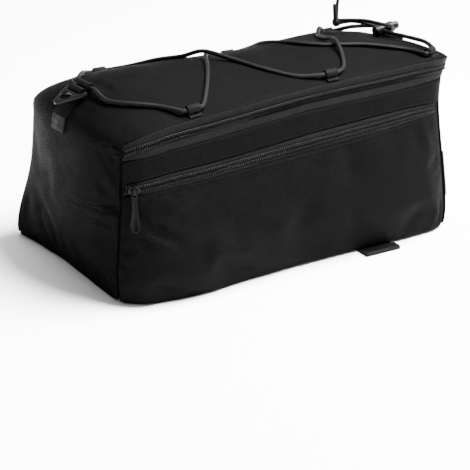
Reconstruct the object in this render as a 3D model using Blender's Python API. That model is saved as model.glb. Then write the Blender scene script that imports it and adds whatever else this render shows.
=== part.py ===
"""Bicycle trunk bag: a soft box of padded cloth that straps onto a rear rack.

Metres, +Z up. +X points to the rear of the bicycle and -Y to its left side, which carries the pocket.
The origin is the middle of the overall box in X and Y, on the surface under the rack straps.
"""

import math

import bmesh
import bpy
from mathutils import Vector

# Shell sizes
LENGTH = 0.36
WIDTH = 0.206
TOP_WIDTH = 0.195
FRONT_X = -0.1785
FRONT_HEIGHT = 0.148
REAR_HEIGHT = 0.169
WALL = 0.003
BASE_BOARD = 0.004
SEAM_GAP = 0.0004
CORNER_INSET = 0.006
CORNER_REACH = 0.024
RIGHT_SAG = 0.031
NOSE_FORWARD = 0.016
DOME_HEIGHT = 0.028
FOOT_FORWARD = 0.011
SIDE_BULGE = 0.009
REAR_BULGE = 0.008

# Zips and the pocket
ZIP_TAPE = 0.0012
ZIP_COIL_WIDTH = 0.0050
ZIP_COIL_STAND = 0.0006
POCKET_END = 0.972
POCKET_CLOTH = 0.0015
POCKET_BULGE = 0.0145
POCKET_DROP = 0.0017

# Zip sliders and pulls
SLIDER_LENGTH = 0.0105
SLIDER_WIDTH = 0.0084
SLIDER_PLATE = 0.0018
SLIDER_CLEAR = 0.0004
STAPLE_WIDTH = 0.0020
STAPLE_WIRE = 0.0012
PULL_LENGTH = 0.037
PULL_WIDTH = 0.0084
PULL_NECK = 0.0056
PULL_THICK = 0.0016
PULL_PLAY = 0.0004
PULL_HANG = 8.0
POCKET_SLIDER_AT = 0.027
MAIN_SLIDER_AT = 0.05

# Webbing and rings
WEBBING_WIDTH = 0.025
WEBBING_THICK = 0.0016
FRONT_WEBBING_LENGTH = 0.052
FRONT_WEBBING_BACK = 0.027
FRONT_CORD_AT = 0.0045
FRONT_BAR_AT = 0.0117
TAB_LENGTH = 0.012
RING_WIDTH = 0.038
RING_HEIGHT = 0.0245
RING_THICK = 0.0030
RING_BAR = 0.0032
RING_PLAY = 0.0004
RING_LIFT = 8.0
PATCH_LENGTH = 0.034
BAND_HEIGHT = 0.040
BAND_LOW = 0.026
BAND_THICK = 0.0008

# Elastic lacing
CORD = 0.0042
CORD_PLAY = 0.0007
CORD_LAY = 0.0004
LOOP_WIDTH = 0.012
LOOP_CLOTH = 0.0012
LOOP_REACH = 0.0118
REAR_LOOP_TURN = 35.0
LOOP_LIFT = 0.0009
CROSSING_LIFT = 0.0048
LOCK_LENGTH = 0.021
LOCK_WIDTH = 0.0112
BUTTON_WIDTH = 0.0080
BUTTON_STAND = 0.006
BUTTON_REACH = 0.0042
BUTTON_TRAVEL = 0.0032
KNOT_WIDTH = 0.0095
LACING_SPACING = 0.0125
TAIL_SPACING = 0.0085
TIP_SPACING = 0.006
TAIL_WIDTH = 0.9
TIP_WIDTH = 0.7

# Rack straps
STRAP_WIDTH = 0.038
STRAP_THICK = 0.0018
REAR_STRAP_AT = 0.74
FRONT_STRAP_AT = 0.22
REAR_STRAP_LEFT = 0.1215
REAR_STRAP_RIGHT = 0.1245
FRONT_STRAP_REACH = 0.097
STRAP_FOLD = 0.010
STRAP_ROUND = 0.0008

BASE_Z = STRAP_THICK + SEAM_GAP
REAR_X = FRONT_X + LENGTH

# Side borders: share of the wall's height, then the front and the rear seam's setback as shares of LENGTH
SEAM_LINES = (
    (0.00, 0.004, 0.006),
    (0.07, 0.001, -0.002),
    (0.20, 0.003, 0.001),
    (0.35, 0.009, 0.009),
    (0.50, 0.014, 0.018),
    (0.65, 0.020, 0.027),
    (0.80, 0.024, 0.031),
    (0.92, 0.026, 0.020),
    (1.00, 0.028, 0.004),
)

# Top edge: share of LENGTH, then its rise from FRONT_HEIGHT to REAR_HEIGHT and the right side's share of
# RIGHT_SAG
TOP_EDGES = (
    (0.00, -0.34, 0.21),
    (0.04, -0.04, 0.24),
    (0.12, 0.24, 0.36),
    (0.25, 0.44, 0.52),
    (0.40, 0.66, 0.74),
    (0.55, 0.82, 0.90),
    (0.75, 0.95, 0.92),
    (0.90, 1.02, 0.82),
    (1.00, 1.00, 0.72),
)

# Bands of the side walls: share of LENGTH, then the levels under the main zip and over and under the
# pocket zip, as shares of the wall's height
BANDS = (
    (0.00, 0.908, 0.757, 0.690),
    (0.06, 0.872, 0.740, 0.658),
    (0.14, 0.869, 0.739, 0.649),
    (0.32, 0.870, 0.741, 0.655),
    (0.55, 0.885, 0.758, 0.655),
    (0.75, 0.879, 0.766, 0.671),
    (0.90, 0.883, 0.765, 0.688),
    (1.00, 0.898, 0.752, 0.702),
)

# Front end and lid: place along the seam (0 to 1 up the front, 1 to 2 along the top), then the middle's
# shares of NOSE_FORWARD and of DOME_HEIGHT, and how square the rise is across
NOSE_AND_DOME = (
    (0.00, 0.10, 0.00, 2.6),
    (0.15, 0.35, 0.00, 2.5),
    (0.35, 0.55, 0.00, 2.4),
    (0.55, 0.72, 0.00, 2.4),
    (0.75, 0.90, 0.02, 2.4),
    (0.90, 0.98, 0.12, 2.4),
    (1.00, 0.88, 0.34, 2.4),
    (1.04, 0.78, 0.60, 2.3),
    (1.08, 0.58, 0.78, 2.2),
    (1.14, 0.26, 0.90, 2.0),
    (1.25, 0.00, 0.93, 1.9),
    (1.40, 0.00, 0.88, 1.8),
    (1.60, 0.00, 0.84, 1.8),
    (1.80, 0.00, 0.68, 1.9),
    (1.92, 0.00, 0.42, 2.0),
    (2.00, 0.00, 0.26, 2.0),
)

# Left side's fullness: share of its length, then shares of SIDE_BULGE at the foot, the middle and the zip
LEFT_FULLNESS = (
    (0.00, 0.00, 0.00, 0.00),
    (0.10, 0.50, 0.50, 0.10),
    (0.25, 0.80, 0.90, 0.20),
    (0.45, 0.60, 1.00, 0.25),
    (0.65, 0.40, 0.90, 0.20),
    (0.85, 0.40, 0.60, 0.10),
    (1.00, 0.00, 0.00, 0.00),
)

# Pocket's own fullness beyond the side panel: share of its length, then shares of POCKET_BULGE low and high
POCKET_FULLNESS = (
    (0.00, 0.00, 0.00),
    (0.05, 0.66, 0.10),
    (0.12, 0.94, 0.22),
    (0.22, 1.00, 0.28),
    (0.34, 0.64, 0.24),
    (0.52, 0.32, 0.20),
    (0.75, 0.26, 0.18),
    (0.92, 0.20, 0.12),
    (1.00, 0.00, 0.00),
)

# Triangular ring: place from its bar to its tip as a share of RING_HEIGHT, then its half width as a share
# of half RING_WIDTH
RING_OUTLINE = (
    (-0.053, 0.88),
    (0.00, 1.00),
    (0.10, 0.97),
    (0.32, 0.80),
    (0.60, 0.50),
    (0.80, 0.32),
    (0.93, 0.20),
    (1.00, 0.08),
)

# Zip pull: place from its pivot to its tip as a share of PULL_LENGTH, then its width as a share of PULL_WIDTH
PULL_OUTLINE = (
    (0.20, 0.62),
    (0.30, 0.50),
    (0.62, 0.74),
    (0.86, 1.00),
    (0.95, 0.78),
    (1.00, 0.44),
)

# Lacing places: the loops' share of the lid's length
LOOP_PLACES = (0.20, 0.61, 0.955)

# The cord toggle: its place along the lid, how far its middle stands off it, and the way that its button points
LOCK_ALONG = 0.963
LOCK_LIFT = 0.0085
LOCK_AXIS = (0.98, 0.00, 0.15)

# Free cord ends beyond the toggle, from its middle: the way of each tail to the knot, and of each tip beyond it
TAIL_ROUTES = (
    ((-0.0035, 0.0105, 0.001), (-0.012, 0.0185, 0.004), (-0.025, 0.0215, 0.0065), (-0.0366, 0.0221, 0.0065)),
    ((0.0018, -0.0115, 0.0048), (-0.009, -0.0125, 0.0088), (-0.0215, 0.002, 0.0112), (-0.0379, 0.0193, 0.0098)),
)
KNOT_PLACE = (-0.0415, 0.0225, 0.0080)
TIP_ROUTES = (
    ((0.0010, 0.0008, 0.0050), (0.0026, 0.0030, 0.0140), (0.0046, 0.0040, 0.0215)),
    ((-0.0026, -0.0017, 0.0044), (-0.0034, -0.0020, 0.0115), (-0.0030, -0.0010, 0.0180)),
)

# Lacing over the lid: share of its length, place across from -1 (left) to 1 (right), then its lift as a
# share of CROSSING_LIFT
FRONT_TO_RIGHT_FIRST = (
    (0.078, 0.30, 0.1), (0.098, 0.45, 0.0), (0.120, 0.62, 0.0), (0.145, 0.77, 0.0),
)
FRONT_TO_LEFT_FIRST = (
    (0.062, -0.42, 0.1), (0.076, -0.55, 0.0), (0.100, -0.66, 0.0), (0.135, -0.77, 0.0),
)
LEFT_FIRST_TO_RIGHT_SECOND = (
    (0.250, -0.83, 0.0), (0.300, -0.56, 0.0), (0.345, -0.28, 0.0), (0.385, 0.00, 0.0), (0.435, 0.28, 0.0),
    (0.490, 0.54, 0.0), (0.540, 0.76, 0.0),
)
RIGHT_FIRST_TO_LEFT_SECOND = (
    (0.265, 0.76, 0.0), (0.310, 0.48, 0.0), (0.350, 0.24, 0.1), (0.385, 0.03, 1.0), (0.425, -0.26, 0.15),
    (0.466, -0.57, 0.0), (0.525, -0.82, 0.0),
)
LEFT_SECOND_TO_RIGHT_REAR = (
    (0.668, -0.84, 0.0), (0.705, -0.62, 0.1), (0.735, -0.34, 1.0), (0.750, -0.08, 0.3), (0.780, 0.20, 0.0),
    (0.830, 0.45, 0.0), (0.885, 0.68, 0.0),
)
RIGHT_SECOND_TO_LEFT_REAR = (
    (0.648, 0.72, 0.0), (0.640, 0.48, 0.0), (0.640, 0.22, 0.0), (0.655, -0.06, 0.0), (0.690, -0.24, 0.0),
    (0.740, -0.345, 0.0), (0.810, -0.45, 0.0), (0.870, -0.60, 0.0), (0.905, -0.73, 0.0),
)

# Swell of the lid beyond its middle, near the rear: its place along and across, and how far it spreads
SWELL_HEIGHT = 0.0076
SWELL_PLACE = (1.82, 0.52)
SWELL_SPREAD = (0.25, 0.45)

# Where the lid's sides step out from behind the side walls to behind the zip, and where it starts to bow
# to the rear edge
LID_STEP = 0.93
LID_REAR = 1.85

# Where the front end's full right foot ends, as a share of the wall's height
FOOT_TOP = 0.5

# The lid's sections along and across, which the walls share
ALONG = (0, 0.02, 0.05, 0.08, 0.12, 0.17, 0.24, 0.33, 0.43, 0.54, 0.65, 0.76, 0.86, 0.93, 0.965, 0.985, 1)
ACROSS = (-1, -0.94, -0.86, -0.72, -0.48, -0.24, 0, 0.24, 0.48, 0.72, 0.86, 0.94, 1)
UP_THE_FRONT = (0.0, 0.06, 0.14, 0.24, 0.35, 0.46, 0.57, 0.67, 0.76, 0.84, 0.925, 0.94, 0.965)

# How near a rear corner, in runs of the walls, the pieces meet at one mitre
MITRE = 0.004


def smooth(table, place, column):
    """A table column's value at a place between its rows, on a smooth curve through them."""
    if place <= table[0][0]:
        return table[0][column]
    if place >= table[-1][0]:
        return table[-1][column]
    after = next(i for i, row in enumerate(table) if row[0] > place)
    low, high = table[after - 1], table[after]
    span = high[0] - low[0]

    def slope(index):
        before_row = table[max(index - 1, 0)]
        after_row = table[min(index + 1, len(table) - 1)]
        return (after_row[column] - before_row[column]) / (after_row[0] - before_row[0])

    t = (place - low[0]) / span
    start = low[column] * (2 * t**3 - 3 * t**2 + 1) + span * slope(after - 1) * (t**3 - 2 * t**2 + t)
    end = high[column] * (3 * t**2 - 2 * t**3) + span * slope(after) * (t**3 - t**2)
    return start + end


def blend(low, high, share):
    return low + (high - low) * share


def front_seam_x(height):
    return FRONT_X + LENGTH * smooth(SEAM_LINES, height, 1)


def foot_reach(height):
    """How far the front end's full right foot stands forward of the left one."""
    if height >= FOOT_TOP:
        return 0.0
    return FOOT_FORWARD * math.cos(math.pi / 2 * height / FOOT_TOP) ** 1.2


def rear_seam_x(height):
    return REAR_X - LENGTH * smooth(SEAM_LINES, height, 2)


def half_width(height):
    return blend(WIDTH, TOP_WIDTH, height) / 2


def top_z(along, right_side):
    rise = smooth(TOP_EDGES, along, 1) * (REAR_HEIGHT - FRONT_HEIGHT)
    sag = RIGHT_SAG * smooth(TOP_EDGES, along, 2) if right_side else 0.0
    return BASE_Z + FRONT_HEIGHT + rise - sag


def corner_inset(distance):
    """How far a wall has turned in at this distance from a corner seam."""
    return CORNER_INSET * max(0.0, 1 - distance / CORNER_REACH) ** 2


def fullness(along, height):
    """How far a side wall stands out of its flat plane."""
    foot, middle, high = (smooth(LEFT_FULLNESS, along, column) for column in (1, 2, 3))
    low_part = max(0.0, 1 - height / 0.35)
    high_part = max(0.0, (height - 0.45) / 0.55)
    middle_part = math.sin(math.pi * min(1.0, height / 0.95)) ** 0.8 if 0 < height < 0.95 else 0.0
    return SIDE_BULGE * (foot * low_part * 0.5 + middle * middle_part + high * high_part * 0.5)


def side_point(along, height, right_side):
    """A point on a side wall's outer face."""
    start = front_seam_x(height) - (foot_reach(height) if right_side else 0.0)
    x = blend(start, rear_seam_x(height), along)
    nearest = min(along, 1 - along) * LENGTH
    y = half_width(height) - corner_inset(nearest) + fullness(along, height)
    z = blend(BASE_Z, top_z(along, right_side), height)
    if along > 0.5:
        x -= corner_inset(nearest) * 0.5
    return Vector((x, y if right_side else -y, z))


def crown(place, across):
    """How much of the lid's full rise it has at a place across from -1 to 1."""
    return 1 - abs(across) ** smooth(NOSE_AND_DOME, place, 3)


def rear_point(across, height):
    """A point on the rear wall's outer face, across from 0 at the left seam to 1 at the right."""
    left, right = side_point(1.0, height, False), side_point(1.0, height, True)
    point = left.lerp(right, across)
    nearest = min(across, 1 - across) * WIDTH
    bow = math.sin(math.pi * across) ** 0.8 if 0 < across < 1 else 0.0
    point.x += (CORNER_INSET - corner_inset(nearest)) * 0.5
    point.x += REAR_BULGE * bow * math.sin(math.pi * min(1.0, height + 0.12)) * 0.9
    point.z += height**2 * crown(2.0, 2 * across - 1) * DOME_HEIGHT * NOSE_AND_DOME[-1][2]
    return point


def ring_point(run, height):
    """A point on the walls' outer face: run 0 to 1 is the left side, 1 to 2 the rear, 2 to 3 the right."""
    if run <= 1:
        return side_point(run, height, False)
    if run < 2:
        return rear_point(run - 1, height)
    return side_point(3 - run, height, True)


def ring_outward(run, height):
    """The level direction that faces out of the walls there, the same on both sides of a rear corner."""
    if 0.5 < run < 2.5 and abs(run - round(run)) < MITRE:
        run = round(run)
    low, high = max(0.0, run - MITRE), min(3.0, run + MITRE)
    step = ring_point(high, height) - ring_point(low, height)
    return Vector((step.y, -step.x, 0)).normalized()


def lid_swell(place, across):
    """How much the lid rises beyond its middle, near the rear."""
    rise = SWELL_HEIGHT
    for at, middle, spread in zip((place, across), SWELL_PLACE, SWELL_SPREAD):
        share = min(1.0, abs(at - middle) / spread)
        rise *= math.cos(math.pi / 2 * share) ** 2
    return rise


def lid_point(place, across):
    """A point on the front end (place 0 to 1) or the lid (1 to 2), across from -1 at the left seam to 1."""
    along, height = max(0.0, place - 1), min(1.0, place)
    behind_wall = place < LID_STEP
    cover = (WALL if behind_wall else ZIP_TAPE) + SEAM_GAP
    pocket = POCKET_CLOTH + SEAM_GAP if behind_wall else 0.0
    if place > 1.9:
        cover += SEAM_GAP
    left = ring_point(along, height) - ring_outward(along, height) * (cover + pocket)
    right = ring_point(3 - along, height) - ring_outward(3 - along, height) * cover
    if place < 1:
        left.x = ring_point(0, height).x
        right.x = ring_point(3, height).x
    point = left.lerp(right, (across + 1) / 2)
    point.x -= NOSE_FORWARD * smooth(NOSE_AND_DOME, place, 1) * crown(place, across)
    point.z += DOME_HEIGHT * smooth(NOSE_AND_DOME, place, 2) * crown(place, across)
    point.z += lid_swell(place, across)
    if place > LID_REAR:
        run = 1 + (across + 1) / 2
        rear = ring_point(run, 1.0) - ring_outward(run, 1.0) * cover
        bow = rear - ring_point(1.0, 1.0) + ring_outward(1.0, 1.0) * cover
        point.x += bow.x * ((place - LID_REAR) / (2 - LID_REAR)) ** 2
    if place < 1:
        point.x -= foot_reach(place) * (max(0.0, across) ** 2 - (across + 1) / 2)
    return point


def lid_outward(place, across):
    """The direction that faces out of the front end or the lid there."""
    low = lid_point(max(0.0, place - 0.01), across)
    high = lid_point(min(2.0, place + 0.01), across)
    left = lid_point(place, max(-1.0, across - 0.03))
    right = lid_point(place, min(1.0, across + 0.03))
    return (right - left).cross(high - low).normalized() * -1


def material(name, colour, roughness, metallic=0.0):
    made = bpy.data.materials.new(name)
    made.use_nodes = True
    surface = made.node_tree.nodes["Principled BSDF"]
    surface.inputs["Base Color"].default_value = (*colour, 1.0)
    surface.inputs["Roughness"].default_value = roughness
    surface.inputs["Metallic"].default_value = metallic
    made.diffuse_color = (*colour, 1.0)
    return made


LOOKS = {
    "cloth": ((0.012, 0.012, 0.013), 0.85, 0.0),
    "tape": ((0.009, 0.009, 0.010), 0.8, 0.0),
    "coil": ((0.012, 0.012, 0.013), 0.45, 0.0),
    "metal": ((0.10, 0.10, 0.105), 0.35, 1.0),
    "webbing": ((0.013, 0.013, 0.014), 0.8, 0.0),
    "plastic": ((0.02, 0.02, 0.021), 0.4, 0.0),
    "elastic": ((0.03, 0.03, 0.032), 0.75, 0.0),
    "reflective": ((0.55, 0.56, 0.57), 0.3, 0.4),
}


def finish(name, built, look, round_piece=True):
    """Make a named object from a bmesh, with its faces out and a material of its own."""
    bmesh.ops.recalc_face_normals(built, faces=built.faces)
    mesh = bpy.data.meshes.new(name)
    built.to_mesh(mesh)
    built.free()
    if round_piece:
        mesh.shade_smooth()
        mesh.set_sharp_from_angle(angle=math.radians(40))
    placed = bpy.data.objects.new(name, mesh)
    bpy.context.scene.collection.objects.link(placed)
    mesh.materials.append(material(name, *LOOKS[look]))
    return placed


def skin(name, outer, inner, look):
    """A closed wall between two grids of points that match row by row."""
    built = bmesh.new()
    rows, columns = len(outer), len(outer[0])
    faces_out = [[built.verts.new(point) for point in row] for row in outer]
    faces_in = [[built.verts.new(point) for point in row] for row in inner]
    for r in range(rows - 1):
        for c in range(columns - 1):
            low, high = faces_out[r], faces_out[r + 1]
            built.faces.new((low[c], low[c + 1], high[c + 1], high[c]))
            low, high = faces_in[r], faces_in[r + 1]
            built.faces.new((low[c], high[c], high[c + 1], low[c + 1]))
    for r in range(rows - 1):
        for c in (0, columns - 1):
            built.faces.new((faces_out[r][c], faces_out[r + 1][c], faces_in[r + 1][c], faces_in[r][c]))
    for c in range(columns - 1):
        for r in (0, rows - 1):
            built.faces.new((faces_out[r][c], faces_in[r][c], faces_in[r][c + 1], faces_out[r][c + 1]))
    return finish(name, built, look)


def evenly(start, end, count):
    return [blend(start, end, i / (count - 1)) for i in range(count)]


def runs_between(start, end):
    """Places along the walls for a strip's sections: the lid's own, and closer together at corners."""
    rear = {1 + (across + 1) / 2 for across in ACROSS}
    every = sorted(set(ALONG) | rear | {3 - along for along in ALONG})
    return [start] + [run for run in every if start + 0.008 < run < end - 0.008] + [end]


def band(run, column):
    """The level of a band's border at a place along the walls."""
    return smooth(BANDS, min(run, 3 - run) if not 1 < run < 2 else 1.0, column)


def wall_skin(name, runs, levels, outside, inside, look):
    """A piece of the walls. levels gives its levels at a run, and outside and inside its faces' offsets."""

    def face(run, set_out):
        outward = ring_outward(run, 0.5)
        return [ring_point(run, level) + outward * set_out(run, level) for level in levels(run)]

    return skin(name, [face(run, outside) for run in runs], [face(run, inside) for run in runs], look)


def wall_levels(run):
    """Levels up a plain wall, from the base to the main zip."""
    top = band(run, 1) - height_step(SEAM_GAP)
    return [top * share for share in (0, 0.06, 0.14, 0.25, 0.37, 0.49, 0.61, 0.72, 0.82, 0.92, 1)]


def height_step(length):
    """A length up the wall as a share of its height."""
    return length / FRONT_HEIGHT


def build_lid():
    outer, inner = [], []
    for place in UP_THE_FRONT + tuple(1 + along for along in ALONG):
        outer_row, inner_row = [], []
        for across in ACROSS:
            point = lid_point(place, across)
            inward = -lid_outward(place, across)
            if abs(across) == 1:
                inward.y = 0
                inward.normalize()
            if place == 0:
                inward = Vector((1, 0, 0))
            if place == 2:
                run = 1 + (across + 1) / 2
                inward = (ring_point(run, 1 - WALL / REAR_HEIGHT) - ring_point(run, 1.0)) / WALL
            outer_row.append(point)
            inner_row.append(point + inward * WALL)
        outer.append(outer_row)
        inner.append(inner_row)
    skin("top_front_panel", outer, inner, "cloth")


def build_walls():
    gap = SEAM_GAP / LENGTH
    recess = POCKET_CLOTH + SEAM_GAP

    def left_levels(run):
        low, high, top = band(run, 3), band(run, 2), band(run, 1) - height_step(SEAM_GAP)
        lower = [low * share for share in (0, 0.08, 0.19, 0.34, 0.50, 0.66, 0.83, 1)]
        return lower + [high - height_step(SEAM_GAP), high, (high + top) / 2, top]

    def left_outside(run, level):
        return 0.0 if level > band(run, 2) - height_step(SEAM_GAP) / 2 else -recess

    runs = runs_between(0.0, 1 - gap)
    left_inside = lambda run, level: -recess - WALL
    wall_skin("side_panel_left", runs, left_levels, left_outside, left_inside, "cloth")
    runs = runs_between(2 + gap, 3.0)
    wall_skin("side_panel_right", runs, wall_levels, lambda run, level: 0.0, lambda run, level: -WALL, "cloth")
    runs = runs_between(1 + gap, 2 - gap)
    wall_skin("rear_panel", runs, wall_levels, lambda run, level: 0.0, lambda run, level: -WALL, "cloth")


def build_zip(name, runs, low, high):
    """Two tapes and the coil between them; low and high give the band's borders for a run."""
    half_coil, gap = height_step(ZIP_COIL_WIDTH) / 2, height_step(SEAM_GAP)

    def middle(run):
        return (low(run) + high(run)) / 2

    def tape_levels(bottom, top):
        return [bottom, (bottom + top) / 2, top]

    def tape_back(run, level):
        return -ZIP_TAPE

    wall_skin(
        name + "_upper_tape", runs, lambda run: tape_levels(middle(run) + half_coil + gap, high(run)),
        lambda run, level: 0.0, tape_back, "tape",
    )
    wall_skin(
        name + "_coil", runs, lambda run: [middle(run) - half_coil, middle(run) + half_coil],
        lambda run, level: ZIP_COIL_STAND, tape_back, "coil",
    )
    wall_skin(
        name + "_lower_tape", runs, lambda run: tape_levels(low(run), middle(run) - half_coil - gap),
        lambda run, level: 0.0, tape_back, "tape",
    )


def pocket_zip_low(run):
    return band(run, 3) + height_step(SEAM_GAP)


def pocket_zip_high(run):
    return band(run, 2) - 2 * height_step(SEAM_GAP)


def build_zips():
    build_zip("main_zip", runs_between(0.0, 3.0), lambda run: band(run, 1), lambda run: 1.0)
    build_zip("pocket_zip", runs_between(0.002, POCKET_END), pocket_zip_low, pocket_zip_high)


def pocket_stand(along, height):
    """How far the pocket's cloth stands out beyond the side wall's own face."""
    share = height / band(along, 3)
    low = max(0.0, math.sin(math.pi * min(1.0, (share + 0.25) / 0.95)))
    high = math.sin(math.pi * min(1.0, share))
    place = along / POCKET_END
    return POCKET_BULGE * (smooth(POCKET_FULLNESS, place, 1) * low + smooth(POCKET_FULLNESS, place, 2) * high)


def build_pocket():
    """The pocket's cloth: its own floor, then its outer face up to the pocket zip."""

    def rows(run, inside):
        outward = ring_outward(run, 0.5)
        cloth = POCKET_CLOTH if inside else 0.0
        floor = Vector((0, 0, cloth))
        foot = max(0.0, pocket_stand(run, 0.0) - 0.002)
        drop = Vector((0, 0, -POCKET_DROP * smooth(POCKET_FULLNESS, run / POCKET_END, 1) ** 2))
        row = [
            ring_point(run, 0.0) - outward * POCKET_CLOTH + floor,
            ring_point(run, 0.0) + outward * (foot - cloth) + floor + drop,
        ]
        for share in (0.05, 0.12, 0.22, 0.35, 0.49, 0.64, 0.80, 1.0):
            level = share * band(run, 3)
            row.append(ring_point(run, level) + outward * (pocket_stand(run, level) - cloth))
        return row

    runs = runs_between(0.002, POCKET_END)
    skin("pocket_panel", [rows(run, False) for run in runs], [rows(run, True) for run in runs], "cloth")


def build_base():
    """The stiffened floor, inside the walls."""
    built = bmesh.new()
    inset = WALL + POCKET_CLOTH + 3 * SEAM_GAP
    outline = []
    for run in runs_between(0.0, 3.0):
        outline.append(ring_point(run, 0.0) - ring_outward(run, 0.0) * inset)
    outline[0].x = ring_point(0, 0.0).x + WALL + SEAM_GAP
    outline[-1].x = ring_point(3, 0.0).x + WALL + SEAM_GAP
    for across in ACROSS[-3:2:-1]:
        outline.append(lid_point(0, across) + Vector((WALL + SEAM_GAP, 0, 0)))
    low = [built.verts.new(point) for point in outline]
    high = [built.verts.new(point + Vector((0, 0, BASE_BOARD))) for point in outline]
    built.faces.new(low)
    built.faces.new(high)
    for i in range(len(low)):
        j = (i + 1) % len(low)
        built.faces.new((low[i], low[j], high[j], high[i]))
    finish("base_panel", built, "cloth")


def prism(name, outline, start, along, look, holes=()):
    """A solid with a flat outline of points, which may have holes, carried from start by one vector."""
    built = bmesh.new()
    edges = []
    for ring in (outline, *holes):
        verts = [built.verts.new(Vector(point) + Vector(start)) for point in ring]
        edges += [built.edges.new((verts[i], verts[(i + 1) % len(verts)])) for i in range(len(verts))]
    bmesh.ops.triangle_fill(built, use_beauty=True, use_dissolve=False, edges=edges)
    moved = bmesh.ops.extrude_face_region(built, geom=list(built.faces))
    verts = [item for item in moved["geom"] if isinstance(item, bmesh.types.BMVert)]
    bmesh.ops.translate(built, vec=Vector(along), verts=verts)
    return finish(name, built, look, round_piece=False)


def rod(name, start, end, radius, sides, look):
    """A closed round bar between two points."""
    built = bmesh.new()
    start, end = Vector(start), Vector(end)
    axis = end - start
    bmesh.ops.create_cone(
        built, cap_ends=True, segments=sides, radius1=radius, radius2=radius, depth=axis.length
    )
    turn = axis.to_track_quat("Z", "Y").to_matrix().to_4x4()
    turn.translation = (start + end) / 2
    bmesh.ops.transform(built, matrix=turn, verts=built.verts)
    return finish(name, built, look)


def combine(target, other, operation):
    """Join or cut a solid with a helper, which is left out of the model."""
    change = target.modifiers.new(operation.lower(), "BOOLEAN")
    change.operation = operation
    change.object = other
    other.hide_render = True
    other.display_type = "WIRE"


def webbing_piece(name, spine, half_width, tunnels, look, thick):
    """Flat webbing with its under side on a spine, and round tunnels of (middle, radius, wall) on its back.

    The spine is a list of (point, outward) pairs, and half_width is the vector from the middle to one edge.
    """
    outline = [point - half_width for point, _ in spine]
    outline += [point + outward * thick - half_width for point, outward in reversed(spine)]
    piece = prism(name, outline, (0, 0, 0), half_width * 2, look)
    for number, (middle, radius, cloth) in enumerate(tunnels):
        sleeve = rod(
            f"{name}_sleeve_{number}", middle - half_width * 0.999, middle + half_width * 0.999, radius + cloth, 16, look
        )
        combine(piece, sleeve, "UNION")
    for number, (middle, radius, _) in enumerate(tunnels):
        bore = rod(
            f"{name}_bore_{number}", middle - half_width * 1.2, middle + half_width * 1.2, radius, 16, look
        )
        combine(piece, bore, "DIFFERENCE")
    return piece


def nose_line(from_place, to_place, count):
    """Points along the middle of the lid and the front end, with their outward directions and runs."""
    line = []
    travelled = 0.0
    for place in evenly(from_place, to_place, count):
        point, outward = lid_point(place, 0.0), lid_outward(place, 0.0)
        if line:
            travelled += (point - line[-1][0]).length
        line.append((point, outward, travelled))
    return line


def at_length(line, length):
    """The point and the outward direction at a length along a line."""
    for before, after in zip(line, line[1:]):
        if after[2] >= length:
            share = (length - before[2]) / (after[2] - before[2])
            return before[0].lerp(after[0], share), before[1].lerp(after[1], share).normalized()
    return line[-1][0], line[-1][1]


RING_TUNNEL = math.hypot(RING_BAR / 2, RING_THICK / 2) + RING_PLAY
CORD_TUNNEL = CORD / 2 + CORD_PLAY


def tunnel_middle(point, outward, radius, thick):
    return point + outward * (SEAM_GAP + thick + radius)


def lid_across(place):
    """The direction across the lid's middle, from left to right."""
    return (lid_point(place, 0.12) - lid_point(place, -0.12)).normalized()


def build_ring(name, bar, down, outward, side):
    """A triangular ring on its bar, lying along down; its origin is on the bar."""
    half = RING_WIDTH / 2

    def place(across, along):
        return side * across + down * along

    right = [place(share * half, along * RING_HEIGHT) for along, share in RING_OUTLINE]
    left = [place(-share * half, along * RING_HEIGHT) for along, share in reversed(RING_OUTLINE)]
    slot_half = WEBBING_WIDTH / 2 + 2 * RING_PLAY
    slot_end = RING_TUNNEL + WEBBING_THICK + 2 * RING_PLAY
    slot = [
        place(-slot_half, RING_BAR / 2),
        place(slot_half, RING_BAR / 2),
        place(slot_half - 0.0006, slot_end),
        place(-slot_half + 0.0006, slot_end),
    ]
    eye_middle = RING_HEIGHT * 0.53
    eye = []
    for step in range(14):
        angle = 2 * math.pi * step / 14
        across = half * 0.42 * math.sin(angle) * (1 + 0.22 * math.cos(angle))
        eye.append(place(across, eye_middle - RING_HEIGHT * 0.21 * math.cos(angle)))
    piece = prism(name, right + left, outward * (-RING_THICK / 2), outward * RING_THICK, "plastic", (slot, eye))
    piece.location = bar
    return piece


def build_front_webbing():
    line = nose_line(1.16, 0.70, 60)
    start = next(length for point, _, length in line if point.x < FRONT_X + FRONT_WEBBING_BACK)
    side = lid_across(1.03)
    spine = []
    for length in evenly(0.0, FRONT_WEBBING_LENGTH, 16):
        point, outward = at_length(line, start + length)
        spine.append((point + outward * SEAM_GAP, outward))
    cord_middle = tunnel_middle(*at_length(line, start + FRONT_CORD_AT), CORD_TUNNEL, WEBBING_THICK)
    bar_point, bar_outward = at_length(line, start + FRONT_BAR_AT)
    bar_middle = tunnel_middle(bar_point, bar_outward, RING_TUNNEL, WEBBING_THICK)
    tunnels = ((cord_middle, CORD_TUNNEL, LOOP_CLOTH), (bar_middle, RING_TUNNEL, LOOP_CLOTH))
    webbing_piece("front_webbing", spine, side * WEBBING_WIDTH / 2, tunnels, "webbing", WEBBING_THICK)
    ahead, _ = at_length(line, start + FRONT_BAR_AT + RING_TUNNEL)
    down = (ahead - bar_point).normalized()
    outward = side.cross(down).normalized()
    if outward.z < 0:
        outward = -outward
    lift = math.radians(RING_LIFT)
    build_ring(
        "front_ring", bar_middle, down * math.cos(lift) + outward * math.sin(lift),
        outward * math.cos(lift) - down * math.sin(lift), side,
    )
    return cord_middle, side


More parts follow.
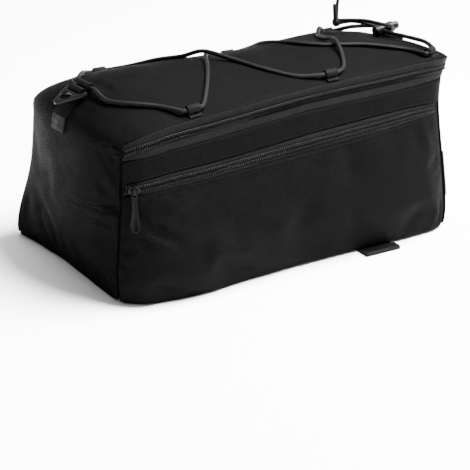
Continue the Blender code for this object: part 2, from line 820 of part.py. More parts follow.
def build_rear_webbing():
    """A tab in the lid's rear seam with its ring, and a reinforcing patch down the rear panel."""
    side = lid_across(1.99)
    up = Vector((1, 0, 0)).cross(side).normalized()
    back = side.cross(up).normalized()
    edge = rear_point(0.5, 1.0)
    bend = WEBBING_THICK
    corner = edge + back * SEAM_GAP * 2 + up * SEAM_GAP * 2
    spine = [
        (corner - back * 0.007 + up * 0.0003, up),
        (corner - back * bend, up),
        (corner, (up + back).normalized()),
        (corner + back * bend / 2 - up * bend, back),
        (corner + back * bend / 2 - up * TAB_LENGTH, back),
    ]
    bar = corner + back * (bend / 2 + WEBBING_THICK - LOOP_CLOTH / 2) - up * (TAB_LENGTH + RING_TUNNEL * 0.6)
    tunnels = ((bar, RING_TUNNEL, LOOP_CLOTH),)
    webbing_piece("rear_webbing", spine, side * WEBBING_WIDTH / 2, tunnels, "webbing", WEBBING_THICK)
    build_ring("rear_ring", bar, -up, back, side)
    patch_top = band(1.5, 1) - height_step(2 * SEAM_GAP)
    spine = []
    for level in evenly(patch_top, patch_top - height_step(PATCH_LENGTH), 7):
        outward = ring_outward(1.5, level)
        spine.append((ring_point(1.5, level) + outward * 2 * SEAM_GAP, outward))
    half_patch = (ring_point(1.56, 0.8) - ring_point(1.44, 0.8)).normalized() * WEBBING_WIDTH / 2
    webbing_piece("rear_patch", spine, half_patch, (), "webbing", WEBBING_THICK)


def build_band():
    """The reflective band across the rear panel."""
    runs = [1 + (across + 1) / 2 for across in ACROSS]
    runs[0], runs[-1] = 1.004, 1.996

    def levels(run):
        return [height_step(BAND_LOW + BAND_HEIGHT * share) for share in (0, 0.25, 0.5, 0.75, 1)]

    wall_skin(
        "rear_reflective_band", runs, levels, lambda run, level: SEAM_GAP + BAND_THICK,
        lambda run, level: SEAM_GAP, "reflective",
    )


def loop_frame(along, side):
    """A cord loop's seat at the lid's edge: the point, the way in over the lid, out of it, and along it."""
    edge = lid_point(1 + along, side)
    inner = lid_point(1 + along, side * 0.87)
    way_in = (inner - edge).normalized()
    ahead = lid_point(1 + along + 0.01, side) - lid_point(1 + along - 0.01, side)
    ahead = (ahead - way_in * ahead.dot(way_in)).normalized()
    outward = way_in.cross(ahead)
    if outward.z < 0:
        outward = -outward
    if along == LOOP_PLACES[-1]:
        turn = math.radians(REAR_LOOP_TURN)
        edge = edge + way_in * (LOOP_WIDTH / 2 * math.sin(turn))
        way_in, ahead = (
            way_in * math.cos(turn) - ahead * math.sin(turn),
            ahead * math.cos(turn) + way_in * math.sin(turn),
        )
    return edge, way_in, outward, ahead


def loop_middle(along, side):
    edge, way_in, outward, _ = loop_frame(along, side)
    reach = LOOP_REACH - CORD_TUNNEL - LOOP_CLOTH
    return edge + way_in * reach + outward * (LOOP_LIFT + LOOP_CLOTH + CORD_TUNNEL)


def build_loops():
    for side, side_name in ((-1, "left"), (1, "right")):
        for number, along in enumerate(LOOP_PLACES, 1):
            edge, way_in, outward, ahead = loop_frame(along, side)
            reaches = evenly(0.0006, LOOP_REACH - CORD_TUNNEL, 3)
            spine = [(edge + way_in * reach + outward * LOOP_LIFT, outward) for reach in reaches]
            tunnel = (loop_middle(along, side), CORD_TUNNEL, LOOP_CLOTH)
            name = f"cord_loop_{side_name}_{number}"
            webbing_piece(name, spine, ahead * LOOP_WIDTH / 2, (tunnel,), "webbing", LOOP_CLOTH)


def through(points, spacing):
    """Points on a smooth curve through a route's own points, about this far apart."""
    points = [Vector(point) for point in points]
    ends = [points[0] * 2 - points[1]] + points + [points[-1] * 2 - points[-2]]
    curve = [points[0]]
    for a, b, c, d in zip(ends, ends[1:], ends[2:], ends[3:]):
        steps = max(1, round((c - b).length / spacing))
        before, ahead = (c - a) / 2, (d - b) / 2
        longest = (c - b).length
        before *= min(1.0, longest / max(before.length, 1e-9))
        ahead *= min(1.0, longest / max(ahead.length, 1e-9))
        for step in range(1, steps + 1):
            t = step / steps
            point = b * (2 * t**3 - 3 * t**2 + 1) + before * (t**3 - 2 * t**2 + t)
            curve.append(point + c * (3 * t**2 - 2 * t**3) + ahead * (t**3 - t**2))
    return curve


def tube(name, points, width, look):
    """A round cord along a list of points, with closed ends."""
    line = bpy.data.curves.new(name, "CURVE")
    line.dimensions = "3D"
    line.bevel_depth = width / 2
    line.bevel_resolution = 2
    line.use_fill_caps = True
    spline = line.splines.new("POLY")
    spline.points.add(len(points) - 1)
    for slot, point in zip(spline.points, points):
        slot.co = (*point, 1.0)
    spline.use_smooth = True
    placed = bpy.data.objects.new(name, line)
    bpy.context.scene.collection.objects.link(placed)
    line.materials.append(material(name, *LOOKS[look]))
    return placed


def on_lid(along, across, lift=0.0):
    """A place for the cord's middle on the lid."""
    place = 1 + along
    return lid_point(place, across) + lid_outward(place, across) * (CORD / 2 + CORD_LAY + lift)


def loop_pass(along, side, forward):
    """The cord's points through a loop, straight inside it."""
    middle = loop_middle(along, side)
    ahead = loop_frame(along, side)[3] * (1 if forward else -1)
    return [middle + ahead * (LOOP_WIDTH * share) for share in (-0.8, -0.5, 0.5, 0.8)]


def laid(route):
    """A table's places on the lid, with their lift."""
    return [on_lid(along, across, lift * CROSSING_LIFT) for along, across, lift in route]


def lock_frame():
    """The toggle's middle, its long axis, and the offset of each of its two passages along that axis."""
    axis = Vector(LOCK_AXIS).normalized()
    middle = lid_point(1 + LOCK_ALONG, 0) + lid_outward(1 + LOCK_ALONG, 0) * LOCK_LIFT
    return middle, axis, axis * CORD * 0.62


def lacing_route():
    """The held cord from the toggle round the six loops and through the front webbing, and back."""
    middle, axis, apart = lock_frame()
    first, second, third = LOOP_PLACES
    entry = Vector((0, LOCK_WIDTH / 2 + SEAM_GAP, 0))
    right_entry = middle + apart + entry
    left_entry = middle - apart - entry
    away = Vector((0, 0.006, 0))
    inside = Vector((0, SEAM_GAP, 0))
    right_rear = loop_pass(third, 1, False)
    route = [middle + apart + inside, right_entry, right_entry + away]
    route += [right_entry.lerp(right_rear[0], 0.72) + Vector((0.004, 0, 0.002))]
    route += right_rear
    route += laid(LEFT_SECOND_TO_RIGHT_REAR[::-1])
    route += loop_pass(second, -1, False)
    route += laid(RIGHT_FIRST_TO_LEFT_SECOND[::-1])
    route += loop_pass(first, 1, False)
    route += laid(FRONT_TO_RIGHT_FIRST[::-1])
    cord_middle, side = FRONT_TUNNEL
    route += [cord_middle + side * (WEBBING_WIDTH * share) for share in (0.85, 0.52, -0.52, -0.85)]
    route += laid(FRONT_TO_LEFT_FIRST)
    route += loop_pass(first, -1, True)
    route += laid(LEFT_FIRST_TO_RIGHT_SECOND)
    route += loop_pass(second, 1, True)
    route += laid(RIGHT_SECOND_TO_LEFT_REAR)
    left_rear = loop_pass(third, -1, True)
    route += left_rear
    route += [left_rear[-1].lerp(left_entry, 0.28) + Vector((0.004, 0, 0.002))]
    route += [left_entry - away, left_entry, middle - apart - inside]
    return route


def build_lock():
    middle, axis, apart = lock_frame()
    half = axis * LOCK_LENGTH / 2
    body = rod("cord_lock_body", middle - half, middle + half, LOCK_WIDTH / 2, 16, "plastic")
    slot = CORD / 2 + CORD_PLAY
    through_way = Vector((0, 1, 0))
    across = axis.cross(through_way)
    outline = []
    for centre, start in ((apart, -90), (-apart, 90)):
        for step in range(7):
            angle = math.radians(start + step * 30)
            outline.append(centre + axis * (slot * math.cos(angle)) + across * (slot * math.sin(angle)))
    passage_start = middle - through_way * LOCK_WIDTH
    passage = prism("lock_passage", outline, passage_start, through_way * LOCK_WIDTH * 2, "plastic")
    combine(body, passage, "DIFFERENCE")
    well_start = middle + half - axis * BUTTON_REACH
    well = rod("lock_well", well_start, middle + half * 1.4, BUTTON_WIDTH / 2 + SEAM_GAP, 14, "plastic")
    combine(body, well, "DIFFERENCE")
    start = middle + half + axis * (SEAM_GAP + BUTTON_TRAVEL - BUTTON_REACH)
    rod("cord_lock_button", start, middle + half + axis * BUTTON_STAND, BUTTON_WIDTH / 2, 14, "plastic")


def build_cords():
    tube("bungee_lacing", through(lacing_route(), LACING_SPACING), CORD, "elastic")
    middle, axis, apart = lock_frame()
    exit_way = Vector((0, LOCK_WIDTH / 2 + SEAM_GAP, 0))
    inside = Vector((0, SEAM_GAP, 0))
    knot = middle + Vector(KNOT_PLACE)
    left, right = middle - apart, middle + apart
    starts = ((left + inside, left + exit_way), (right - inside, right - exit_way))
    for number, (start, way) in enumerate(zip(starts, TAIL_ROUTES), 1):
        route = list(start) + [middle + Vector(place) for place in way]
        tube(f"cord_tail_{number}", through(route, TAIL_SPACING), CORD * TAIL_WIDTH, "elastic")
    built = bmesh.new()
    bmesh.ops.create_icosphere(built, subdivisions=2, radius=KNOT_WIDTH / 2)
    for vert in built.verts:
        vert.co += knot
    finish("cord_knot", built, "elastic")
    for number, route in enumerate(TIP_ROUTES, 1):
        points = [knot + Vector(place) for place in route]
        tube(f"cord_tip_{number}", through(points, TIP_SPACING), CORD * TIP_WIDTH, "elastic")


def build_slider(name, seat, outward, along):
    """A zip slider: its plate, its staple, and the pull that hangs from it, with its origin on its pivot."""
    up = Vector((0, 0, 1))
    up = (up - outward * up.dot(outward)).normalized()
    level = up.cross(outward)
    across = outward.cross(along)
    half_length, half_width = SLIDER_LENGTH / 2, SLIDER_WIDTH / 2
    nose = [(-half_length, half_width * 0.35), (-half_length * 0.45, half_width)]
    right = nose + [(half_length, half_width * 0.8)]
    outline = [seat + along * x + across * y for x, y in right]
    outline += [seat + along * x - across * y for x, y in reversed(right)]
    plate = prism(name + "_slider", outline, (0, 0, 0), outward * SLIDER_PLATE, "metal")
    clear = PULL_THICK + 2 * PULL_PLAY + SEAM_GAP
    leg_out = half_width * 0.86
    leg_in = leg_out - STAPLE_WIRE
    top = SLIDER_PLATE + clear
    root = SLIDER_PLATE * 0.5
    shoulder = top + STAPLE_WIRE * 0.4
    left = [(leg_out, root), (leg_out, shoulder), (leg_in, top + STAPLE_WIRE)]
    arch = [(-x, y) for x, y in left] + list(reversed(left))
    arch += [(leg_in, root), (leg_in, top), (-leg_in, top), (-leg_in, root)]
    staple_outline = [seat + up * x + outward * y for x, y in arch]
    staple_start = level * (-STAPLE_WIDTH / 2)
    staple = prism(name + "_staple", staple_outline, staple_start, level * STAPLE_WIDTH, "metal")
    combine(plate, staple, "UNION")
    pivot = seat + outward * (SLIDER_PLATE + clear / 2)
    hang = math.radians(PULL_HANG)
    down = -up * math.cos(hang) + outward * math.sin(hang)
    face = outward * math.cos(hang) + up * math.sin(hang)
    half_neck = PULL_NECK / 2
    right = [(half_neck, -PULL_THICK / 2), (half_neck, PULL_LENGTH * 0.17)]
    right += [(share * PULL_WIDTH / 2, at * PULL_LENGTH) for at, share in PULL_OUTLINE]
    outline = [level * x + down * y for x, y in right] + [level * -x + down * y for x, y in reversed(right)]
    hole_half = STAPLE_WIDTH / 2 + PULL_PLAY
    hole_end = leg_out + STAPLE_WIRE + PULL_PLAY
    hole = [
        level * -hole_half + down * (PULL_THICK / 2),
        level * hole_half + down * (PULL_THICK / 2),
        level * hole_half + down * hole_end,
        level * -hole_half + down * hole_end,
    ]
    pull = prism(name + "_pull", outline, face * (-PULL_THICK / 2), face * PULL_THICK, "metal", (hole,))
    pull.location = pivot


def slider_seat(run, level):
    """A slider's seat on a zip's coil, with its outward direction and the zip's own direction."""
    outward = ring_outward(run, level)
    ahead = (ring_point(run + 0.01, level) - ring_point(run - 0.01, level)).normalized()
    outward = (outward - ahead * outward.dot(ahead)).normalized()
    return ring_point(run, level) + outward * (ZIP_COIL_STAND + SLIDER_CLEAR), outward, ahead


def build_sliders():
    level = (pocket_zip_low(POCKET_SLIDER_AT) + pocket_zip_high(POCKET_SLIDER_AT)) / 2
    build_slider("pocket_zip", *slider_seat(POCKET_SLIDER_AT, level))
    run = 3 - MAIN_SLIDER_AT
    build_slider("main_zip", *slider_seat(run, (band(run, 1) + 1) / 2))


def build_straps():
    high, over = STRAP_THICK, 2 * STRAP_THICK + SEAM_GAP

    def folded(reach):
        inner = reach - STRAP_FOLD
        end = [(reach - STRAP_ROUND, 0.0), (reach, high * 0.5)]
        end += [(reach, over - high * 0.5), (reach - STRAP_ROUND, over)]
        gap = high + SEAM_GAP
        return end + [(inner, over), (inner, gap), (reach - high, gap), (reach - high, high)]

    def flat(reach):
        return [(reach, 0.0), (reach, high)]

    for name, at, left, right in (
        ("rack_strap_rear", REAR_STRAP_AT, folded(REAR_STRAP_LEFT), folded(REAR_STRAP_RIGHT)),
        ("rack_strap_front", FRONT_STRAP_AT, flat(FRONT_STRAP_REACH), flat(FRONT_STRAP_REACH)),
    ):
        x = FRONT_X + LENGTH * at - STRAP_WIDTH / 2
        outline = right + [(-y, z) for y, z in reversed(left)]
        prism(name, [(x, y, z) for y, z in outline], (0, 0, 0), (STRAP_WIDTH, 0, 0), "webbing")


def remove_everything():
    for placed in list(bpy.data.objects):
        bpy.data.objects.remove(placed, do_unlink=True)


remove_everything()
build_lid()
build_walls()
build_zips()
build_pocket()
build_base()
FRONT_TUNNEL = build_front_webbing()
build_rear_webbing()
build_band()
build_loops()
build_lock()
build_cords()
build_sliders()
build_straps()
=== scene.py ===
import math

import bmesh
import bpy
import numpy as np
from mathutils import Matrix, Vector, noise
from mathutils.bvhtree import BVHTree


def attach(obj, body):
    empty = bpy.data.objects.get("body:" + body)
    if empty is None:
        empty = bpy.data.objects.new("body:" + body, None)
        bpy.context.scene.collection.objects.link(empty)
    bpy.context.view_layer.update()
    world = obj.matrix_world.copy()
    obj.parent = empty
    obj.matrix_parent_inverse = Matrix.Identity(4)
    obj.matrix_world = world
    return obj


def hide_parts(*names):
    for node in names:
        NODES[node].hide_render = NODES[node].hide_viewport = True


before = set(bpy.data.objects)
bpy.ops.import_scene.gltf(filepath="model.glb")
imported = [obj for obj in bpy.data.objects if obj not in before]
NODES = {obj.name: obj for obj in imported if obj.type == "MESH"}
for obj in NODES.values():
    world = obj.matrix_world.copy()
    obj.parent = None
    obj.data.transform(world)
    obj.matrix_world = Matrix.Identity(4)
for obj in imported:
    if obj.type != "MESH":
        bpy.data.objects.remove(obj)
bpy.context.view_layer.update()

# The photograph's frame in pixels and the camera that fits it: its places in metres, its lens in mm
IMAGE = 470
CAMERA_PLACE = Vector((-0.7507, -1.2551, 0.6017))
CAMERA_TARGET = Vector((-0.0025, 0.0, 0.067))
LENS = 124.39
SENSOR = 36.0
SHIFT_Y = -0.149

# Studio: the room's own light, the floor, then each lamp's name, place, size and power
WORLD_LIGHT = 0.55
FLOOR_REACH = 9.0
FLOOR_GREY = 0.93
FLOOR_ROUGHNESS = 0.9
LIGHT_AIM = Vector((0, 0, 0.08))
LIGHTS = (
    ("top_lamp", (1.1, -0.45, 2.2), 1.7, 1100),
    ("back_lamp", (0.3, 1.4, 2.2), 1.4, 40),
    ("left_lamp", (0.6, -2.0, 1.2), 1.6, 7),
)

# Weaves: pitch, unevenness and depth, the braid's strands round a cord and their lay, and the marks' scale
CLOTH_PITCH = 0.0009
CLOTH_UNEVEN = 0.35
CLOTH_DEPTH = 0.00022
RIB_PITCH = 0.0016
RIB_DEPTH = 0.00012
BRAID_DEPTH = 0.00018
GRAIN_DEPTH = 0.00003
CARRIERS = 6.0
LAY = 330.0
SCUFF_SCALE = 160.0

# Cloth: its thickness, the steps of its run, and how far from a seam its moves have their full size
CLOTH_THICK = 0.0018
CLOTH_STEPS = 20
SETTLE_FADE = 0.02

# The seam's pucker, its finer ripple, and the cloth's slow unevenness: depth, wave length and reach
PUCKER = 0.00045
PUCKER_STEP = 0.0085
PUCKER_START = 0.0022
PUCKER_REACH = 0.011
FINE_SHARE = 0.5
FINE_STEP = 0.45
FINE_SHIFT = Vector((7, 3, 1))
DRIFT = 0.0010
DRIFT_STEP = 0.05
DRIFT_FADE = 0.03
DRIFT_SHIFT = Vector((3, 9, 4))

# A crease's run past its ends, its taper, its reach in half widths and in depth, and the lips beside it
CREASE_PAST = 0.4
CREASE_TAPER = 1.5
CREASE_SIDE = 5
CREASE_DEEP = 0.03
LIP_HIGH = 0.55
LIP_PLACE = 1.9
LIP_SPREAD = 0.9

# How CAD faces are merged, joined, chosen and rounded
SAME_PLACE = 1e-6
TINY = 1e-9
POINTS_AT_ONCE = 4000
FACING_WEIGHT = 0.05
JOIN_FACE_TURN = math.radians(40)
JOIN_SHAPE_TURN = math.radians(60)
KEPT_EDGE_TURN = math.radians(40)
KEPT_EDGE = 0.9
FLAT_TURN = math.radians(1.5)
BEVEL_TURN = math.radians(28)
BEVEL_STEPS = 3
END_FACING = 0.9

# Cords: thickness, the spacing of their rings, and the rings of a domed end by their reach and radius
CORD = 0.0042
END_CORD = CORD * 0.86
KNOT_CORD = CORD * 0.9
CORD_SIDES = 14
LACING_STEP = 0.0022
END_STEP = 0.0016
DOME_REACH = 0.55
DOME_RINGS = ((1.0, 0.25), (0.6, 0.8))

# The knot's turns, axis, radius and length
KNOT_TURNS = 2.0
KNOT_STEPS = 40
KNOT_WAY = Vector((0.84, 0.1, -0.05)).normalized()
KNOT_REACH = 0.0029
KNOT_LONG = 0.0052
KNOT_RISE = 4
KNOT_NARROW = 0.25

# Stitches, the share of one that its middle and its tips keep, their hem, and how they are laid on the cloth
STITCH_STEP = 0.0033
STITCH_LONG = 0.0023
STITCH_THICK = 0.00030
STITCH_MIDDLE = 0.55
STITCH_TIP = 0.6
SHORTEST_GAP = STITCH_STEP / 3
LONGEST_GAP = STITCH_STEP * 1.6
HEM = 0.0026
LAY_FROM = 0.012
LAY_REACH = 0.03

# Zip teeth: their pitch and sizes, the share that the top keeps, and how they sit on the coil's bed
TOOTH_PITCH = 0.0022
TOOTH_LONG = 0.00100
TOOTH_WIDE = 0.00240
TOOTH_HIGH = 0.00060
TOOTH_TOP = 0.62
TOOTH_BEVEL = TOOTH_HIGH * 0.3
TOOTH_PLACE = 0.00185
TOOTH_SINK = 0.00010
ZIP_STEP = 0.0008
ZIP_END = 0.0025

# The held lacing, from the toggle round the six loops and back, as in part.py
LACING = (
    (0.1713, 0.0014, 0.1777), (0.1713, 0.0070, 0.1777), (0.1713, 0.0130, 0.1777), (0.1730, 0.0613, 0.1651),
    (0.1681, 0.0825, 0.1573), (0.1650, 0.0842, 0.1567), (0.1547, 0.0899, 0.1545), (0.1516, 0.0917, 0.1538),
    (0.1403, 0.0666, 0.1641), (0.1209, 0.0438, 0.1748), (0.1034, 0.0194, 0.1763), (0.0931, -0.0073, 0.1814),
    (0.0878, -0.0329, 0.1860), (0.0772, -0.0603, 0.1798), (0.0643, -0.0818, 0.1754),
    (0.0535, -0.0907, 0.1755), (0.0500, -0.0906, 0.1753), (0.0380, -0.0905, 0.1749),
    (0.0344, -0.0905, 0.1747), (0.0144, -0.0801, 0.1741), (-0.0061, -0.0557, 0.1781),
    (-0.0204, -0.0253, 0.1814), (-0.0342, 0.0039, 0.1841), (-0.0462, 0.0240, 0.1759),
    (-0.0600, 0.0474, 0.1688), (-0.0759, 0.0747, 0.1579), (-0.0892, 0.0920, 0.1519),
    (-0.0928, 0.0921, 0.1519), (-0.1048, 0.0925, 0.1520), (-0.1084, 0.0926, 0.1520),
    (-0.1195, 0.0754, 0.1581), (-0.1303, 0.0607, 0.1638), (-0.1409, 0.0440, 0.1681),
    (-0.1508, 0.0294, 0.1697), (-0.1584, 0.0214, 0.1712), (-0.1584, 0.0132, 0.1715),
    (-0.1584, -0.0128, 0.1725), (-0.1584, -0.0210, 0.1728), (-0.1572, -0.0408, 0.1688),
    (-0.1497, -0.0535, 0.1686), (-0.1384, -0.0643, 0.1685), (-0.1234, -0.0751, 0.1671),
    (-0.1088, -0.0913, 0.1648), (-0.1052, -0.0913, 0.1651), (-0.0933, -0.0914, 0.1660),
    (-0.0897, -0.0914, 0.1663), (-0.0815, -0.0812, 0.1682), (-0.0637, -0.0548, 0.1764),
    (-0.0480, -0.0273, 0.1803), (-0.0342, 0.0003, 0.1797), (-0.0168, 0.0279, 0.1737),
    (0.0024, 0.0533, 0.1645), (0.0198, 0.0748, 0.1544), (0.0345, 0.0924, 0.1477), (0.0381, 0.0924, 0.1478),
    (0.0501, 0.0925, 0.1480), (0.0537, 0.0926, 0.1480), (0.0572, 0.0709, 0.1576), (0.0544, 0.0473, 0.1681),
    (0.0546, 0.0219, 0.1755), (0.0599, -0.0055, 0.1805), (0.0721, -0.0232, 0.1814),
    (0.0895, -0.0334, 0.1812), (0.1139, -0.0435, 0.1803), (0.1350, -0.0579, 0.1782),
    (0.1474, -0.0701, 0.1766), (0.1519, -0.0902, 0.1772), (0.1550, -0.0883, 0.1772),
    (0.1653, -0.0822, 0.1772), (0.1684, -0.0804, 0.1773), (0.1718, -0.0593, 0.1792),
    (0.1661, -0.0110, 0.1769), (0.1661, -0.0050, 0.1769), (0.1661, 0.0006, 0.1769),
)

# The two free ends: from the toggle through the knot to the cut tip, as in part.py
KNOT = Vector((0.1272, 0.0235, 0.1853))
FREE_ENDS = (
    (
        (0.1661, 0.0070, 0.1769), (0.1652, 0.0115, 0.1783), (0.1567, 0.0195, 0.1813),
        (0.1437, 0.0225, 0.1838), (0.1321, 0.0231, 0.1838), (0.1276, 0.0238, 0.1853),
        (0.1282, 0.0243, 0.1903), (0.1298, 0.0265, 0.1993), (0.1318, 0.0275, 0.2068),
    ),
    (
        (0.1713, -0.0050, 0.1777), (0.1705, -0.0105, 0.1821), (0.1597, -0.0115, 0.1861),
        (0.1472, 0.0030, 0.1885), (0.1308, 0.0203, 0.1871), (0.1262, 0.0226, 0.1862),
        (0.1246, 0.0218, 0.1897), (0.1238, 0.0215, 0.1968), (0.1242, 0.0225, 0.2033),
    ),
)

# Middle of the front end and lid in side view, from the foot to the rear edge
LID_PROFILE = (
    (-0.178, 0.000), (-0.190, 0.050), (-0.188, 0.100), (-0.182, 0.149), (-0.165, 0.166), (-0.141, 0.1724),
    (-0.100, 0.177), (0.178, 0.167),
)

# Zip lines: the middle of the coil, the level way out of the wall, and the width of the band
MAIN_ZIP = (
    (-0.1692, -0.0923, 0.1366, -0.534, -0.845, 0.0130), (-0.1623, -0.0955, 0.1389, -0.448, -0.894, 0.0153),
    (-0.1519, -0.0984, 0.1411, -0.259, -0.966, 0.0185), (-0.1416, -0.0991, 0.1429, -0.117, -0.993, 0.0200),
    (-0.1278, -0.0994, 0.1452, -0.089, -0.996, 0.0203), (-0.1106, -0.0997, 0.1470, -0.073, -0.997, 0.0207),
    (-0.0865, -0.1000, 0.1488, -0.043, -0.999, 0.0211), (-0.0554, -0.1002, 0.1516, -0.014, -1.000, 0.0213),
    (-0.0209, -0.1001, 0.1549, -0.001, -1.000, 0.0205), (0.0171, -0.0998, 0.1577, 0.012, -1.000, 0.0198),
    (0.0550, -0.0997, 0.1591, 0.026, -1.000, 0.0204), (0.0928, -0.0995, 0.1601, 0.038, -0.999, 0.0214),
    (0.1273, -0.0991, 0.1613, 0.076, -0.997, 0.0214), (0.1516, -0.0987, 0.1620, 0.114, -0.994, 0.0205),
    (0.1634, -0.0971, 0.1623, 0.380, -0.925, 0.0195), (0.1694, -0.0947, 0.1625, 0.538, -0.843, 0.0189),
    (0.1736, -0.0922, 0.1626, 0.741, -0.672, 0.0185), (0.1750, -0.0865, 0.1627, 0.945, -0.327, 0.0186),
    (0.1762, -0.0791, 0.1628, 0.975, -0.222, 0.0187), (0.1767, -0.0661, 0.1628, 0.995, -0.095, 0.0189),
    (0.1767, -0.0441, 0.1621, 0.998, -0.065, 0.0190), (0.1767, -0.0220, 0.1607, 0.999, -0.033, 0.0190),
    (0.1767, 0.0000, 0.1585, 1.000, -0.000, 0.0188), (0.1767, 0.0220, 0.1556, 0.999, 0.033, 0.0185),
    (0.1767, 0.0441, 0.1520, 0.998, 0.065, 0.0180), (0.1767, 0.0661, 0.1475, 0.995, 0.095, 0.0173),
    (0.1762, 0.0791, 0.1446, 0.975, 0.222, 0.0169), (0.1750, 0.0865, 0.1428, 0.945, 0.327, 0.0167),
    (0.1736, 0.0922, 0.1414, 0.741, 0.672, 0.0164), (0.1694, 0.0947, 0.1408, 0.538, 0.843, 0.0167),
    (0.1634, 0.0971, 0.1401, 0.380, 0.925, 0.0172), (0.1516, 0.0987, 0.1388, 0.114, 0.994, 0.0179),
    (0.1273, 0.0991, 0.1364, 0.076, 0.997, 0.0184), (0.0928, 0.0995, 0.1334, 0.038, 0.999, 0.0181),
    (0.0550, 0.0997, 0.1320, 0.026, 1.000, 0.0172), (0.0171, 0.0998, 0.1316, 0.012, 1.000, 0.0167),
    (-0.0209, 0.1001, 0.1322, -0.001, 1.000, 0.0177), (-0.0554, 0.1002, 0.1331, -0.014, 1.000, 0.0188),
    (-0.0865, 0.1000, 0.1341, -0.043, 0.999, 0.0191), (-0.1106, 0.0997, 0.1348, -0.073, 0.997, 0.0190),
    (-0.1278, 0.0994, 0.1348, -0.089, 0.996, 0.0189), (-0.1416, 0.0991, 0.1343, -0.117, 0.993, 0.0188),
    (-0.1519, 0.0984, 0.1338, -0.259, 0.966, 0.0175), (-0.1623, 0.0955, 0.1323, -0.448, 0.894, 0.0145),
    (-0.1692, 0.0923, 0.1304, -0.534, 0.845, 0.0124),
)
POCKET_ZIP = (
    (-0.1702, -0.0940, 0.1040, -0.530, -0.848, 0.0084), (-0.1641, -0.0974, 0.1051, -0.448, -0.894, 0.0093),
    (-0.1538, -0.1013, 0.1059, -0.259, -0.966, 0.0107), (-0.1435, -0.1029, 0.1068, -0.117, -0.993, 0.0116),
    (-0.1298, -0.1041, 0.1082, -0.089, -0.996, 0.0125), (-0.1127, -0.1053, 0.1095, -0.073, -0.997, 0.0128),
    (-0.0888, -0.1065, 0.1111, -0.043, -0.999, 0.0125), (-0.0580, -0.1072, 0.1136, -0.014, -1.000, 0.0126),
    (-0.0238, -0.1073, 0.1161, -0.001, -1.000, 0.0141), (0.0138, -0.1070, 0.1185, 0.012, -1.000, 0.0157),
    (0.0513, -0.1063, 0.1207, 0.026, -1.000, 0.0157), (0.0888, -0.1052, 0.1228, 0.038, -0.999, 0.0146),
    (0.1229, -0.1036, 0.1246, 0.076, -0.997, 0.0128), (0.1468, -0.1017, 0.1252, 0.114, -0.994, 0.0106),
    (0.1603, -0.0983, 0.1250, 0.437, -0.899, 0.0085),
)

# Creases by the photograph's pixels: start, end, half width and depth in metres
FRONT_CREASES = (
    ((73, 200), (99, 208), 0.0020, 0.0011),
    ((97, 208), (121, 212), 0.0019, 0.0013),
    ((90, 219), (111, 226), 0.0020, 0.0012),
    ((96, 214), (120, 219), 0.0022, -0.0008),
    ((100, 236), (121, 233), 0.0030, 0.0006),
    ((37, 190), (58, 250), 0.0100, 0.0011),
    ((112, 149), (120, 152), 0.0024, 0.0014),
    ((70, 262), (108, 282), 0.0080, 0.0012),
)
POCKET_CREASES = (
    ((150, 232), (178, 242), 0.0042, 0.0013),
    ((121, 262), (128, 271), 0.0034, 0.0012),
    ((122, 246), (134, 252), 0.0036, 0.0009),
    ((150, 212), (172, 213), 0.0050, 0.0010),
    ((352, 215), (362, 229), 0.0050, 0.0014),
    ((262, 232), (276, 250), 0.0110, 0.0014),
    ((300, 150), (312, 175), 0.0120, 0.0012),
    ((228, 215), (240, 245), 0.0120, 0.0011),
)
LID_CREASES = (
    ((92, 82), (112, 92), 0.0034, 0.0010),
    ((84, 96), (104, 104), 0.0040, 0.0010),
    ((46, 84), (60, 92), 0.0030, 0.0014),
    ((60, 76), (72, 88), 0.0036, 0.0014),
    ((100, 84), (128, 78), 0.0050, 0.0010),
)


def make_camera():
    data = bpy.data.cameras.new("photo_camera")
    data.lens = LENS
    data.sensor_width = SENSOR
    data.shift_y = SHIFT_Y
    camera = bpy.data.objects.new("photo_camera", data)
    bpy.context.scene.collection.objects.link(camera)
    camera.location = CAMERA_PLACE
    camera.rotation_euler = (CAMERA_TARGET - CAMERA_PLACE).to_track_quat("-Z", "Y").to_euler()
    bpy.context.scene.camera = camera
    bpy.context.view_layer.update()
    return camera


def pixel_ray(pixel):
    """The way that the camera looks through a pixel of the photograph."""
    across = (pixel[0] - IMAGE / 2) / IMAGE * SENSOR
    up = (IMAGE / 2 - pixel[1]) / IMAGE * SENSOR + SHIFT_Y * SENSOR
    return (CAMERA.matrix_world.to_3x3() @ Vector((across, up, -LENS))).normalized()


def area_light(name, place, size, power):
    data = bpy.data.lights.new(name, "AREA")
    data.shape = "DISK"
    data.size = size
    data.energy = power
    light = bpy.data.objects.new(name, data)
    bpy.context.scene.collection.objects.link(light)
    light.location = place
    light.rotation_euler = (LIGHT_AIM - Vector(place)).to_track_quat("-Z", "Y").to_euler()


def make_studio():
    world = bpy.data.worlds.new("pale_room")
    world.use_nodes = True
    backdrop = world.node_tree.nodes["Background"]
    backdrop.inputs["Color"].default_value = (1, 1, 1, 1)
    backdrop.inputs["Strength"].default_value = WORLD_LIGHT
    bpy.context.scene.world = world
    for name, place, size, power in LIGHTS:
        area_light(name, place, size, power)
    mesh = bpy.data.meshes.new("floor")
    corners = ((-1, -1), (1, -1), (1, 1), (-1, 1))
    mesh.from_pydata([(x * FLOOR_REACH, y * FLOOR_REACH, 0) for x, y in corners], [], [(0, 1, 2, 3)])
    floor = bpy.data.objects.new("floor", mesh)
    bpy.context.scene.collection.objects.link(floor)
    paint = bpy.data.materials.new("floor_paint")
    paint.use_nodes = True
    surface = paint.node_tree.nodes["Principled BSDF"]
    surface.inputs["Base Color"].default_value = (*grey(FLOOR_GREY), 1)
    surface.inputs["Roughness"].default_value = FLOOR_ROUGHNESS
    mesh.materials.append(paint)


# Shader groups that several finishes share


